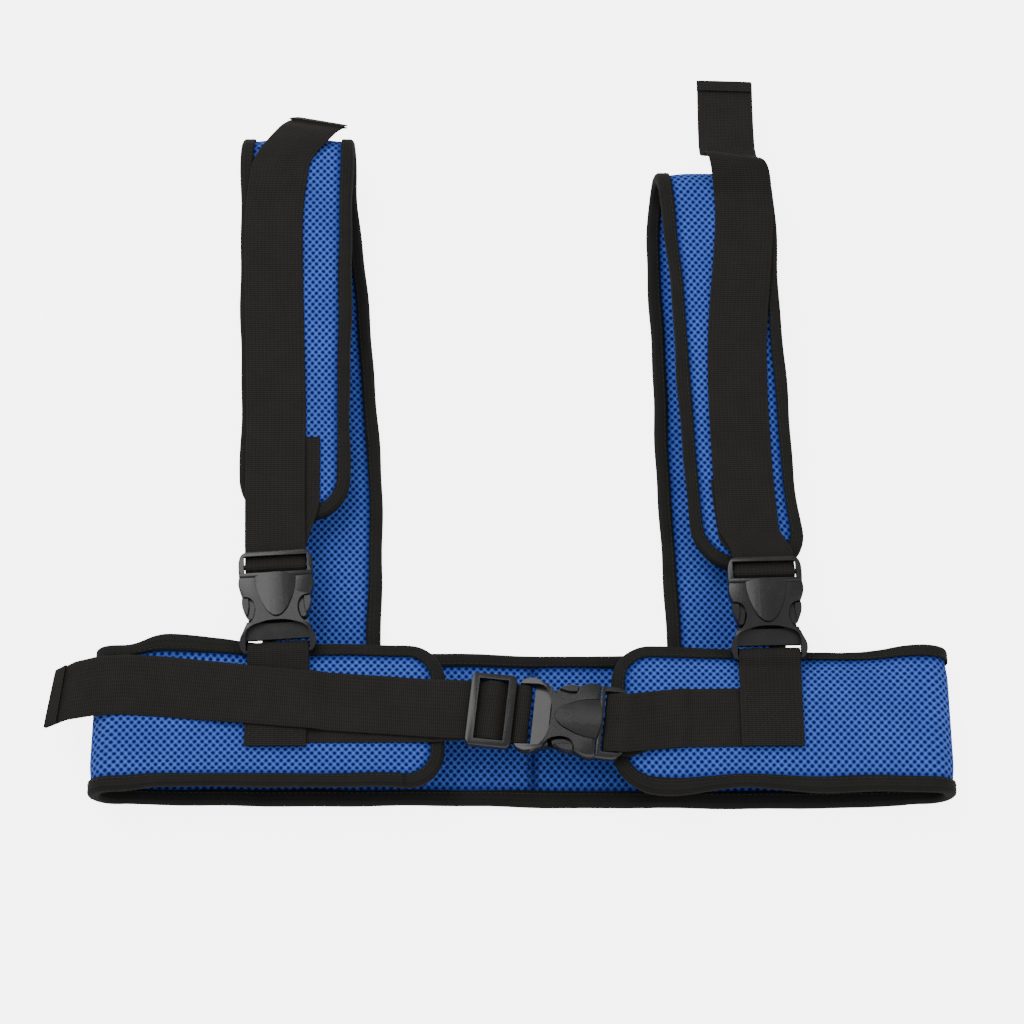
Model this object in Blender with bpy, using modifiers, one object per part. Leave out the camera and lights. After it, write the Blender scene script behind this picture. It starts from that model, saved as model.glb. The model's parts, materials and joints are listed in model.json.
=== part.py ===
"""Padded gait belt with two over-shoulder straps, lying flat as it is stored.

The belt is one padded length folded back on itself: a back panel, a half-turn at each side and two
wings that meet at the front in a side-release buckle. Two padded straps start at the back panel's
top edge, fold over and come down to side-release buckles held by stubs of webbing on the wings.

Frame: metres, +X to the wearer's left as it lies, +Y towards the shoulders, +Z up from the table.
The origin is the middle of the back panel's underside.
"""

import math
from dataclasses import dataclass

import bmesh
import bpy
import numpy as np
from mathutils import Matrix, Vector

MM = 0.001

# ---------------------------------------------------------------- driving dimensions
GAP = 0.3 * MM  # clearance between pieces that touch

WEBBING_WIDTH = 38 * MM
WEBBING_THICK = 1.4 * MM
LAYER_PITCH = WEBBING_THICK + 0.6 * MM  # from one lying layer of webbing to the next

BELT_SPAN = 530 * MM  # across the two side folds
BELT_HEIGHT = 95 * MM
PAD_THICK = 8 * MM
MESH_THICK = 0.8 * MM
WAIST_GAP_TOP = 14 * MM  # between back panel and wings, along the belt's top edge
WAIST_GAP_BOTTOM = 24 * MM
FOLD_REACH = 13 * MM  # how far the mid-surface bulges past the flat panels at a side fold
LEFT_WING_END = -47 * MM
RIGHT_WING_END = 55 * MM
WING_CORNER = 25 * MM
BACK_SEAM_X = 7 * MM

EDGE_SQUEEZE = 0.68  # the pad's thickness under its binding, as a share of the whole
SQUEEZE_WIDTH = 11 * MM  # over which the pad swells from that to its whole thickness
BINDING_WIDTH = 8.5 * MM
BINDING_THICK = 0.8 * MM
PAD_INSET = 2.4 * MM  # from the bound edge to the layers inside it

STRAP_WIDTH = 74 * MM
STRAP_CORNER = 28 * MM
STRAP_FRONT_LENGTH = 279 * MM  # from the top fold to the rounded tip
STRAP_FOLD_REACH = 17 * MM
STRAP_FOLD_LIFT = 34 * MM  # front leg's height over the back leg at the fold

BAR_RADIUS = 1.75 * MM  # round bars that carry webbing
SLOT_CLEARANCE = 0.75 * MM  # at each edge of the webbing
RAIL_WIDTH = 3.5 * MM  # side rails of a buckle's webbing window
BUCKLE_THICK = 11 * MM
WALL = 2.3 * MM  # the housing's top and bottom plates
HOUSING_LENGTH = 49 * MM
SHOULDER_LENGTH = 12.8 * MM  # from the mouth to the faces the prongs latch behind
TONGUE_LENGTH = 25 * MM
TONGUE_WIDTH = 13 * MM
PRONG_LENGTH = 27 * MM
FRAME_LENGTH = 17.2 * MM
GRIP_OVERHANG = 0.9 * MM  # how far a relaxed prong's head stands past the latch face's inner edge
SHIELD_LENGTH = 26 * MM
SHIELD_WIDTH = 25 * MM

GLIDE_BAR = 5 * MM
GLIDE_SLOT = 7 * MM
GLIDE_CENTRE = 4 * MM
GLIDE_SPACING = 2.0 * MM  # from the tri-glide to the waist buckle

BUCKLE_SEAM_X = 46 * MM
BUCKLE_SEAM_Y = -6.5 * MM
WAIST_YAW = math.radians(-6)
WAIST_TAIL_END = -289 * MM

FACETS = 8  # per half-turn of webbing, padding and folds

# ---------------------------------------------------------------- derived dimensions
WINDOW_HALF = WEBBING_WIDTH / 2 + SLOT_CLEARANCE
BUCKLE_HALF = WINDOW_HALF + RAIL_WIDTH
BODY_HALF = BUCKLE_THICK / 2
CAVITY_HALF_HEIGHT = BODY_HALF - WALL
MOUTH_HALF = BUCKLE_HALF - 3.0 * MM
BAR_Y = -(HOUSING_LENGTH - BAR_RADIUS)
LOOP_RADIUS = BAR_RADIUS + GAP + WEBBING_THICK / 2
LYING = PAD_THICK / 2 + GAP + WEBBING_THICK / 2  # first layer of webbing over a pad's mid-surface

CENTRE_BAR_RADIUS = BAR_RADIUS - 0.15 * MM
CENTRE_LOOP = CENTRE_BAR_RADIUS + GAP + WEBBING_THICK / 2
CENTRE_BAR_Y = 8.1 * MM
CENTRE_BAR_Z = -0.3 * MM
LOWER_Z = CENTRE_BAR_Z - CENTRE_LOOP  # webbing under the frame's bars
OUTER_BAR_WIDTH = 3.0 * MM
OUTER_BAR_BOTTOM = LOWER_Z + LAYER_PITCH + WEBBING_THICK / 2 + GAP
FRAME_TOP = OUTER_BAR_BOTTOM + 3.4 * MM
FRAME_BOTTOM = LOWER_Z - 0.4 * MM

FLAT_HALF = BELT_SPAN / 2 - PAD_THICK / 2 - FOLD_REACH
WING_START = FLAT_HALF + math.pi * FOLD_REACH
WING_TILT = math.atan2(WAIST_GAP_BOTTOM - WAIST_GAP_TOP, BELT_HEIGHT)
BACK_MID_Z = PAD_THICK / 2
WING_MID_Z = BACK_MID_Z + PAD_THICK + (WAIST_GAP_TOP + WAIST_GAP_BOTTOM) / 2
LEFT_END = WING_START + FLAT_HALF + LEFT_WING_END
RIGHT_END = WING_START + FLAT_HALF - RIGHT_WING_END
MESH_LEVEL = PAD_THICK / 2 - MESH_THICK / 2
FOAM_HALF = PAD_THICK / 2 - MESH_THICK - 0.4 * MM
BINDING_LEVEL = EDGE_SQUEEZE * MESH_LEVEL + (MESH_THICK + BINDING_THICK) / 2 + GAP

WAIST_BUCKLE_Z = LYING + LOOP_RADIUS + 0.25 * MM  # over the wings' mid-plane
GLIDE_LENGTH = 2 * GLIDE_BAR + 2 * GLIDE_SLOT + GLIDE_CENTRE
GLIDE_Y = -(HOUSING_LENGTH + GLIDE_SPACING + GLIDE_LENGTH / 2)
GLIDE_LOWER = -1.4 * MM  # the two layers of webbing under the tri-glide's outer bars
GLIDE_UPPER = GLIDE_LOWER + LAYER_PITCH
GLIDE_BAR_BOTTOM = GLIDE_UPPER + WEBBING_THICK / 2 + GAP
GLIDE_TOP = GLIDE_BAR_BOTTOM + 3.7 * MM
GLIDE_BOTTOM = GLIDE_BAR_BOTTOM - 3.2 * MM
GLIDE_RISE = LAYER_PITCH * 2  # from under an outer bar to over the centre bar


@dataclass(frozen=True)
class Shoulder:
    """Where one shoulder strap and its buckle lie."""

    name: str
    back_length: float  # from the belt's top edge to the top fold
    root_x: float
    middle_x: float
    fold_x: float
    return_x: float
    front_x: float
    tip_x: float
    stub_x: float
    overlap: float  # how far the buckle's end lies over the wing
    yaw: float
    tail_drift: tuple  # (distance up the front leg, sideways shift) of the loose webbing
    tail_end: tuple  # (X, Y, Z) steps from the fold's crown to the free end

    @property
    def crown_y(self):
        return BELT_HEIGHT / 2 + self.back_length

    @property
    def tip_y(self):
        return self.crown_y - STRAP_FRONT_LENGTH

    @property
    def turn_y(self):
        """Where the fold's half-turn begins."""
        return self.crown_y - PAD_THICK / 2 - STRAP_FOLD_REACH

    @property
    def turn_s(self):
        return self.turn_y - BELT_HEIGHT / 2 - GAP

    @property
    def front_s(self):
        return self.turn_s + math.pi * STRAP_FOLD_REACH

    @property
    def length(self):
        return self.front_s + self.turn_y - self.tip_y

    def s_at(self, y):
        """The distance along the strap at which its front leg is at this Y."""
        return self.front_s + self.turn_y - y


LEFT = Shoulder(
    name="left",
    back_length=352 * MM,
    root_x=-126 * MM,
    middle_x=-132.5 * MM,
    fold_x=-143.5 * MM,
    return_x=-146.5 * MM,
    front_x=-146.5 * MM,
    tip_x=-146.5 * MM,
    stub_x=-149.7 * MM,
    overlap=8 * MM,
    yaw=math.radians(3.5),
    tail_drift=((0.03, -3 * MM), (0.15, -14.5 * MM), (0.26, -11 * MM)),
    tail_end=((3 * MM, 11 * MM, -6 * MM), (14 * MM, 16 * MM, -14 * MM), (25 * MM, 17 * MM, -20 * MM)),
)
RIGHT = Shoulder(
    name="right",
    back_length=327 * MM,
    root_x=129.3 * MM,
    middle_x=125.5 * MM,
    fold_x=121.5 * MM,
    return_x=128 * MM,
    front_x=139.5 * MM,
    tip_x=145 * MM,
    stub_x=152.5 * MM,
    overlap=12 * MM,
    yaw=math.radians(1.5),
    tail_drift=((0.03, 3 * MM), (0.12, 0.5 * MM), (0.25, 16 * MM)),
    tail_end=((-2 * MM, 22 * MM, 1 * MM), (-5 * MM, 46 * MM, -3 * MM), (-9 * MM, 70 * MM, -8 * MM)),
)


# ---------------------------------------------------------------- scene
def clear_scene():
    for thing in list(bpy.data.objects):
        bpy.data.objects.remove(thing, do_unlink=True)


def make_collection(name):
    collection = bpy.data.collections.new(name)
    bpy.context.scene.collection.children.link(collection)
    return collection


def make_material(name, colour, roughness, metallic=0.0):
    material = bpy.data.materials.new(name)
    material.use_nodes = True
    shader = material.node_tree.nodes["Principled BSDF"]
    shader.inputs["Base Color"].default_value = (*colour, 1)
    shader.inputs["Roughness"].default_value = roughness
    shader.inputs["Metallic"].default_value = metallic
    return material


clear_scene()
PARTS = make_collection("gait_belt")
CUTTERS = make_collection("cutters")


def make_object(name, mesh, material=None, parent=None, matrix=None, collection=None):
    """Links an object for this mesh, smooth shaded, with a material of its own name."""
    thing = bpy.data.objects.new(name, mesh)
    (collection or PARTS).objects.link(thing)
    if material:
        mesh.materials.clear()
        mesh.materials.append(make_material(name, *material))
    if parent:
        thing.parent = parent
    if matrix:
        thing.matrix_basis = matrix
    return thing


def make_frame(name, matrix, parent=None):
    """An empty that places what is parented to it."""
    frame = bpy.data.objects.new(name, None)
    PARTS.objects.link(frame)
    frame.matrix_basis = matrix
    frame.parent = parent
    return frame


MESH_BLUE = ((0.045, 0.13, 0.62), 0.75)
FOAM_GREY = ((0.55, 0.56, 0.58), 0.95)
TAPE_BLACK = ((0.012, 0.012, 0.011), 0.85)
WEBBING_BLACK = ((0.016, 0.016, 0.015), 0.8)
ACETAL_BLACK = ((0.035, 0.035, 0.034), 0.38)


# ---------------------------------------------------------------- surfaces
def smooth(x):
    x = np.clip(x, 0, 1)
    return x * x * (3 - 2 * x)


def belt_base(s, t):
    """Mid-surface of the belt: s along it from the back's middle, t across it."""
    along = np.abs(s)
    turn = np.clip((along - FLAT_HALF) / FOLD_REACH, 0, math.pi)
    x = np.minimum(along, FLAT_HALF) + FOLD_REACH * np.sin(turn) - np.maximum(along - WING_START, 0)
    lift = WING_MID_Z - BACK_MID_Z - t * math.tan(WING_TILT)
    z = BACK_MID_Z + lift / 2 * (1 - np.cos(turn))
    return np.stack([np.sign(s) * x, t + 0 * s, z], axis=-1)


def strap_tip_z():
    """Mid-surface of a strap's tip, which lies just under its buckle's frame."""
    return shoulder_z() + FRAME_BOTTOM - 1.2 * MM - PAD_THICK / 2


def wing_top_z(y):
    return WING_MID_Z - y * math.tan(WING_TILT) + PAD_THICK / 2


def shoulder_z():
    """Mid-plane of the shoulder buckles: two layers of webbing and a bar lie on the wing's edge."""
    edge = BELT_HEIGHT / 2 - max(LEFT.overlap, RIGHT.overlap)
    return wing_top_z(edge) + 2 * GAP + WEBBING_THICK + BAR_RADIUS


def strap_base(strap):
    """Mid-surface of a shoulder strap: s along it from the belt, t across it."""
    keys = [0, strap.turn_s * 0.52, strap.turn_s, strap.front_s, strap.s_at(0.6 * strap.tip_y + 76 * MM)]
    keys.append(strap.length)
    xs = [strap.root_x, strap.middle_x, strap.fold_x, strap.return_x, strap.front_x, strap.tip_x]
    top_z = BACK_MID_Z + STRAP_FOLD_LIFT
    flat_y = strap.tip_y + 45 * MM

    def base(s, t):
        turn = np.clip((s - strap.turn_s) / STRAP_FOLD_REACH, 0, math.pi)
        back = np.minimum(s, strap.turn_s)
        front = np.maximum(s - strap.front_s, 0)
        y = BELT_HEIGHT / 2 + GAP + back + STRAP_FOLD_REACH * np.sin(turn) - front
        z = BACK_MID_Z + STRAP_FOLD_LIFT / 2 * (1 - np.cos(turn))
        slope = smooth((y - flat_y) / (strap.turn_y - flat_y))
        z = np.where(front > 0, strap_tip_z() + (top_z - strap_tip_z()) * slope, z)
        return np.stack([np.interp(s, keys, xs) - t, y + 0 * t, z + 0 * t], axis=-1)

    return base


def raise_from(base, s, t, n):
    """Points n above a mid-surface, along its normal. Above is the wearer's side."""
    step = 0.05 * MM
    s, t, n = np.broadcast_arrays(*(np.asarray(v, float) for v in (s, t, n)))
    along = base(s + step, t) - base(s - step, t)
    across = base(s, t + step) - base(s, t - step)
    normal = np.cross(along, across)
    normal /= np.linalg.norm(normal, axis=-1, keepdims=True)
    return base(s, t) + n[..., None] * normal


def grid_mesh(name, points, closed=False):
    """An open sheet of quads through a grid of points, or a band where the first axis closes."""
    rows, columns = points.shape[:2]
    index = np.arange(rows * columns).reshape(rows, columns)
    if closed:
        index = np.concatenate([index, index[:1]])
    corners = index[:-1, :-1], index[1:, :-1], index[1:, 1:], index[:-1, 1:]
    faces = np.stack(corners, axis=-1).reshape(-1, 4)
    mesh = bpy.data.meshes.new(name)
    mesh.from_pydata(points.reshape(-1, 3).tolist(), [], faces.tolist())
    return mesh


def add_thickness(thing, thickness, weights=None, thinnest=1.0):
    """Solidify to both sides, thinner where the weights are low."""
    solid = thing.modifiers.new("thickness", "SOLIDIFY")
    solid.thickness = thickness
    solid.offset = 0
    solid.use_even_offset = True
    if weights is not None:
        group = thing.vertex_groups.new(name="loft")
        for index, weight in enumerate(weights):
            group.add([index], float(weight), "REPLACE")
        solid.vertex_group = "loft"
        solid.thickness_vertex_group = thinnest


# ---------------------------------------------------------------- padding
@dataclass(frozen=True)
class Outline:
    """A padded panel from s = start to a rounded end at s = end, of this width."""

    start: float
    end: float
    width: float
    corner: float

    def half_at(self, s):
        """Half the width of the layers inside the binding, at these distances along."""
        radius = self.corner - PAD_INSET
        past = np.clip(np.abs(s) - (abs(self.end) - self.corner), 0, radius)
        return self.width / 2 - self.corner + np.sqrt(radius**2 - past**2)

    def depth(self, s, t):
        """How far a point lies inside the bound edge."""
        past = np.abs(s) - (abs(self.end) - self.corner)
        over = np.abs(t) - (self.width / 2 - self.corner)
        straight = np.minimum(self.corner - past, self.corner - over)
        return np.where((past > 0) & (over > 0), self.corner - np.hypot(past, over), straight)


def loft_at(depth):
    """The pad's share of its whole thickness, this far inside its edge."""
    return EDGE_SQUEEZE + (1 - EDGE_SQUEEZE) * smooth((depth - BINDING_WIDTH) / SQUEEZE_WIDTH)


def end_columns(outline):
    """Distances along a panel at its rounded end, close together where the corner turns."""
    radius = outline.corner - PAD_INSET
    steps = radius * np.sin(np.linspace(0, math.pi / 2, 6))
    return (abs(outline.end) - outline.corner + steps) * np.sign(outline.end)


def across_rows(half):
    """Places across a panel: its edges, the bound width and the end of the swell."""
    inner = BINDING_WIDTH - PAD_INSET + np.array([0, 1]) * SQUEEZE_WIDTH
    margins = np.concatenate([[0], inner])
    share = np.minimum(margins[None, :], 0.92 * half[:, None])
    edge = half[:, None] - share
    return np.concatenate([-edge, edge[:, ::-1]], axis=1)


def make_layer(name, base, outline, columns, level, thickness, material, squeezed=False):
    """One layer of a padded panel: its sheet at this level over the mid-surface, thickened."""
    t = across_rows(outline.half_at(columns))
    s = np.repeat(columns[:, None], t.shape[1], axis=1)
    loft = loft_at(outline.depth(s, t))
    points = raise_from(base, s, t, level * loft)
    thing = make_object(name, grid_mesh(name, points), material)
    if squeezed:
        add_thickness(thing, thickness, np.ravel(loft) * 1.0 - (1 - np.ravel(loft)) * 0.12, 0.0)
    else:
        add_thickness(thing, thickness)
    return thing


def make_panel(name, base, outline, columns):
    """The three layers of a padded panel, outer mesh, foam and the lining against the wearer."""
    make_layer(f"{name}_outer_mesh", base, outline, columns, -MESH_LEVEL, MESH_THICK, MESH_BLUE)
    make_layer(f"{name}_foam", base, outline, columns, 0, 2 * FOAM_HALF, FOAM_GREY, squeezed=True)
    make_layer(f"{name}_lining", base, outline, columns, MESH_LEVEL, MESH_THICK, MESH_BLUE)


def corner_path(centre_s, centre_t, radius, first, last):
    """Points round a corner and the directions into the panel from them."""
    angles = np.linspace(first, last, 6)
    way = np.stack([np.cos(angles), np.sin(angles)], axis=-1)
    return np.array([centre_s, centre_t]) + radius * way, -way


def make_binding(name, base, path, inward, closed):
    """A tape folded over an edge: a U section carried along the edge and thickened."""
    turn = 0.42 * BINDING_LEVEL
    section = np.array(
        [
            (BINDING_WIDTH, BINDING_LEVEL),
            (1.7 * MM, BINDING_LEVEL),
            (BINDING_THICK / 2, turn),
            (BINDING_THICK / 2, -turn),
            (1.7 * MM, -BINDING_LEVEL),
            (BINDING_WIDTH, -BINDING_LEVEL),
        ]
    )
    place = path[:, None, :] + section[None, :, :1] * inward[:, None, :]
    points = raise_from(base, place[..., 0], place[..., 1], section[None, :, 1])
    thing = make_object(name, grid_mesh(name, points, closed), TAPE_BLACK)
    add_thickness(thing, BINDING_THICK)
    return thing


def fold_columns(start, reach):
    return start + reach * np.linspace(0, math.pi, FACETS + 1)


def make_belt():
    """The waist belt: two panels sewn together at the centre back, and one binding round both."""
    right = Outline(BACK_SEAM_X + GAP, RIGHT_END, BELT_HEIGHT, WING_CORNER)
    left = Outline(BACK_SEAM_X - GAP, -LEFT_END, BELT_HEIGHT, WING_CORNER)
    folds = fold_columns(FLAT_HALF, FOLD_REACH)
    right_columns = np.concatenate([[right.start], folds, end_columns(right)])
    left_columns = np.concatenate([[left.start], -folds, end_columns(left)])
    make_panel("belt_right", belt_base, right, right_columns)
    make_panel("belt_left", belt_base, left, left_columns)

    half = BELT_HEIGHT / 2
    inner = half - WING_CORNER
    edge = np.concatenate([-folds[::-1], [BACK_SEAM_X], folds])
    bottom = np.stack([edge, np.full(len(edge), -half)], axis=-1)
    up = np.tile([0.0, 1.0], (len(edge), 1))
    quarter = math.pi / 2
    runs = [
        (bottom, up),
        corner_path(RIGHT_END - WING_CORNER, -inner, WING_CORNER, -quarter, 0),
        corner_path(RIGHT_END - WING_CORNER, inner, WING_CORNER, 0, quarter),
        (bottom[::-1] * [1, -1], -up),
        corner_path(-LEFT_END + WING_CORNER, inner, WING_CORNER, quarter, 2 * quarter),
        corner_path(-LEFT_END + WING_CORNER, -inner, WING_CORNER, 2 * quarter, 3 * quarter),
    ]
    path, inward = (np.concatenate(part) for part in zip(*runs))
    make_binding("belt_edge_binding", belt_base, path, inward, closed=True)


def make_strap(strap):
    """A padded shoulder strap, bound along both sides and round its tip."""
    outline = Outline(0, strap.length, STRAP_WIDTH, STRAP_CORNER)
    base = strap_base(strap)
    folds = fold_columns(strap.turn_s, STRAP_FOLD_REACH)
    leg = np.linspace(strap.front_s, strap.length - STRAP_CORNER, 7)[1:-1]
    middle = [0, strap.turn_s * 0.52]
    columns = np.concatenate([middle, folds, leg, end_columns(outline)])
    make_panel(f"{strap.name}_strap", base, outline, columns)

    half = STRAP_WIDTH / 2
    inner = half - STRAP_CORNER
    edge = np.concatenate([middle, folds, leg])
    side = np.stack([edge, np.full(len(edge), -half)], axis=-1)
    up = np.tile([0.0, 1.0], (len(edge), 1))
    turn_s = strap.length - STRAP_CORNER
    runs = [
        (side, up),
        corner_path(turn_s, -inner, STRAP_CORNER, -math.pi / 2, 0),
        corner_path(turn_s, inner, STRAP_CORNER, 0, math.pi / 2),
        (side[::-1] * [1, -1], -up),
    ]
    path, inward = (np.concatenate(part) for part in zip(*runs))
    make_binding(f"{strap.name}_strap_binding", base, path, inward, closed=False)


# ---------------------------------------------------------------- solids for the hardware
def evaluated_mesh(thing):
    """The mesh of an object with its modifiers applied and its doubles merged."""
    graph = bpy.context.evaluated_depsgraph_get()
    mesh = bpy.data.meshes.new_from_object(thing.evaluated_get(graph), depsgraph=graph)
    work = bmesh.new()
    work.from_mesh(mesh)
    bmesh.ops.remove_doubles(work, verts=work.verts, dist=0.002 * MM)
    work.to_mesh(mesh)
    work.free()
    return mesh


def keep_as_cutter(thing):
    thing.hide_render = True
    thing.display_type = "WIRE"
    return thing


def outline_solid(name, points, bottom, top, bevel=0.0, resolution=4, rim_steps=1):
    """A closed flat outline, as thick as from bottom to top, with rounded rims.

    Each point is (x, y, kind): kind "r" is passed in a smooth curve, and kind "c" is a corner.
    """
    curve = bpy.data.curves.new(name, "CURVE")
    curve.dimensions = "2D"
    curve.fill_mode = "BOTH"
    curve.resolution_u = resolution
    curve.extrude = (top - bottom) / 2 - bevel
    curve.bevel_depth = bevel
    curve.bevel_resolution = rim_steps
    curve.offset = -bevel
    spline = curve.splines.new("BEZIER")
    spline.bezier_points.add(len(points) - 1)
    spline.use_cyclic_u = True
    for knot, (x, y, kind) in zip(spline.bezier_points, points):
        knot.co = (x, y, 0)
        knot.handle_left_type = knot.handle_right_type = "AUTO" if kind == "r" else "VECTOR"
    flat = bpy.data.objects.new(name, curve)
    CUTTERS.objects.link(flat)
    mesh = evaluated_mesh(flat)
    bpy.data.objects.remove(flat)
    mesh.transform(Matrix.Translation((0, 0, (top + bottom) / 2)))
    return keep_as_cutter(make_object(name, mesh, collection=CUTTERS))


def box_solid(name, low, high, bevel=0.0, matrix=None):
    """A box between two corners, with rounded edges if a bevel is given."""
    mesh = bpy.data.meshes.new(name)
    work = bmesh.new()
    bmesh.ops.create_cube(work, size=1)
    size = [b - a for a, b in zip(low, high)]
    middle = [(a + b) / 2 for a, b in zip(low, high)]
    bmesh.ops.scale(work, vec=size, verts=work.verts)
    bmesh.ops.translate(work, vec=middle, verts=work.verts)
    if bevel:
        bmesh.ops.bevel(work, geom=work.edges[:], offset=bevel, segments=2, profile=0.5, affect="EDGES")
    work.to_mesh(mesh)
    work.free()
    if matrix:
        mesh.transform(matrix)
    return keep_as_cutter(make_object(name, mesh, collection=CUTTERS))


def bar_solid(name, half, y, z, radius):
    """A round bar along X."""
    mesh = bpy.data.meshes.new(name)
    work = bmesh.new()
    bmesh.ops.create_cone(
        work, cap_ends=True, segments=16, radius1=radius, radius2=radius, depth=2 * half
    )
    work.to_mesh(mesh)
    work.free()
    turn = Matrix.Rotation(math.pi / 2, 4, "Y") @ Matrix.Rotation(math.pi / 16, 4, "Z")
    mesh.transform(Matrix.Translation((0, y, z)) @ turn)
    return keep_as_cutter(make_object(name, mesh, collection=CUTTERS))


def combine(name, body, steps):
    """A mesh made from a body by Booleans, each an (operation, other body) pair."""
    for operation, other in steps:
        change = body.modifiers.new(other.name, "BOOLEAN")
        change.operation = operation
        change.object = other
        change.solver = "EXACT"
    mesh = evaluated_mesh(body)
    mesh.name = name
    body.modifiers.clear()
    mesh.shade_smooth()
    mesh.set_sharp_from_angle(angle=math.radians(32))
    return mesh


def mirrored(half):
    """A whole outline from its right half, listed from the top down."""
    other = [(-x, y, kind) for x, y, kind in reversed(half) if x > 0]
    return half + other


# ---------------------------------------------------------------- buckle housing, the female half
def housing_mesh():
    """The shell that the prongs latch in. Local Y = 0 is its mouth, and it runs to -Y.

    Two plates joined along the mouth's sides and at the webbing end leave an open notch at each
    side, where the prongs' heads show. A crowned shield stands on the top plate.
    """
    wide, end = BUCKLE_HALF, -HOUSING_LENGTH
    latch = -SHOULDER_LENGTH
    waist = MOUTH_HALF - 7 * MM
    notch_end = latch - 16.5 * MM
    bowl_top = notch_end + 1.6 * MM
    bowl_floor = 0.9 * MM
    slot_top = -(HOUSING_LENGTH - 9.6 * MM)
    high = BODY_HALF + 4 * MM

    body_outline = mirrored(
        [
            (wide - 0.6 * MM, 0, "c"),
            (wide, latch * 0.3, "r"),
            (wide - 0.9 * MM, latch * 0.7, "r"),
            (wide - 2.9 * MM, latch - 0.6 * MM, "r"),
            (wide - 4.9 * MM, latch - 7 * MM, "r"),
            (wide - 4.9 * MM, notch_end + 3 * MM, "r"),
            (wide - 2.6 * MM, notch_end - 4.5 * MM, "r"),
            (wide, notch_end - 10.5 * MM, "r"),
            (wide - 0.2 * MM, end + 3.6 * MM, "r"),
            (wide - 3.4 * MM, end, "r"),
            (wide - 6 * MM, end, "c"),
        ]
    )
    body = outline_solid("housing_body", body_outline, -BODY_HALF, BODY_HALF, bevel=0.9 * MM)

    out = wide + 4 * MM
    cavity_outline = mirrored(
        [
            (MOUTH_HALF, 3 * MM, "c"),
            (MOUTH_HALF, latch, "c"),
            (out, latch, "c"),
            (out, notch_end + 2.2 * MM, "c"),
            (MOUTH_HALF - 4.5 * MM, notch_end, "c"),
        ]
    )
    cavity = outline_solid("housing_cavity", cavity_outline, -CAVITY_HALF_HEIGHT, CAVITY_HALF_HEIGHT)

    notch = [
        (out, latch + 0.4 * MM, "c"),
        (wide - 2.4 * MM, latch + 0.2 * MM, "r"),
        (waist + 2.2 * MM, latch - 1.6 * MM, "r"),
        (waist, latch - 6 * MM, "r"),
        (waist + 0.3 * MM, latch - 11.5 * MM, "r"),
        (waist + 3.4 * MM, notch_end - 0.6 * MM, "r"),
        (out, notch_end - 5.5 * MM, "c"),
    ]
    left_notch = [(-x, y, kind) for x, y, kind in reversed(notch)]
    notches = [
        outline_solid(f"housing_notch_{side}", points, CAVITY_HALF_HEIGHT - 0.1 * MM, high)
        for side, points in (("right", notch), ("left", left_notch))
    ]

    arch = mirrored(
        [
            (0, bowl_top, "r"),
            (WINDOW_HALF * 0.55, bowl_top - 1.5 * MM, "r"),
            (WINDOW_HALF * 0.92, bowl_top - 5.2 * MM, "r"),
            (WINDOW_HALF, bowl_top - 9.5 * MM, "c"),
            (WINDOW_HALF, end - 3 * MM, "c"),
        ]
    )
    bowl = outline_solid("housing_bowl", arch, bowl_floor, high)
    bowl.data.transform(
        Matrix.Translation((0, bowl_top, 0))
        @ Matrix.Rotation(math.radians(7), 4, "X")
        @ Matrix.Translation((0, -bowl_top, 0))
    )
    under = box_solid("housing_under", (-out, end - 3 * MM, -high), (out, slot_top + 2.8 * MM, -3 * MM))
    slope = box_solid(
        "housing_ear_slope",
        (-out, -20 * MM, 0),
        (out, 0, high),
        matrix=Matrix.Translation((0, slot_top + 6 * MM, BODY_HALF)) @ Matrix.Rotation(math.radians(9), 4, "X"),
    )
    slot = box_solid("housing_slot", (-WINDOW_HALF, end - 3 * MM, -high), (WINDOW_HALF, slot_top, high))
    bar = bar_solid("housing_bar", WINDOW_HALF + RAIL_WIDTH / 2, BAR_Y, 0, BAR_RADIUS)

    half = SHIELD_WIDTH / 2
    shield_outline = mirrored(
        [
            (0, 2.2 * MM, "r"),
            (half * 0.75, 0.9 * MM, "r"),
            (half, 0, "c"),
            (half * 0.93, -0.3 * SHIELD_LENGTH, "r"),
            (half * 0.68, -0.66 * SHIELD_LENGTH, "r"),
            (half * 0.36, -0.91 * SHIELD_LENGTH, "r"),
            (0, -SHIELD_LENGTH, "r"),
        ]
    )
    groove_depth, groove_width = 0.6 * MM, 0.55 * MM
    wider = [
        (x * (1 + groove_width / half), y * (1 + groove_width / SHIELD_LENGTH) + (y > -MM) * 2 * MM, kind)
        for x, y, kind in shield_outline
    ]
    groove = outline_solid("housing_groove", wider, BODY_HALF - groove_depth, high)
    shield = outline_solid("housing_shield", shield_outline, BODY_HALF - 0.8 * MM, high)
    crown_radius = 58 * MM
    crown = bar_solid("housing_crown", SHIELD_LENGTH * 1.6, 0, 0, crown_radius)
    fine_crown(crown, crown_radius)
    shield_mesh = combine("shield", shield, [("INTERSECT", crown)])
    crowned = keep_as_cutter(make_object("housing_crowned_shield", shield_mesh, collection=CUTTERS))

    ribs = [
        box_solid(
            f"housing_rib_{side}",
            (min(a, b), notch_end - 0.5 * MM, -CAVITY_HALF_HEIGHT - 0.5 * MM),
            (max(a, b), -5 * MM, -CAVITY_HALF_HEIGHT + 1.6 * MM),
        )
        for side, a, b in (
            ("right", TONGUE_WIDTH / 2 + 0.5 * MM, TONGUE_WIDTH / 2 + 1.7 * MM),
            ("left", -TONGUE_WIDTH / 2 - 0.5 * MM, -TONGUE_WIDTH / 2 - 1.7 * MM),
        )
    ]
    steps = [("DIFFERENCE", cutter) for cutter in (cavity, *notches, bowl, under, slope, slot, groove)]
    steps += [("UNION", piece) for piece in (bar, crowned, *ribs)]
    return combine("housing", body, steps)


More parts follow.
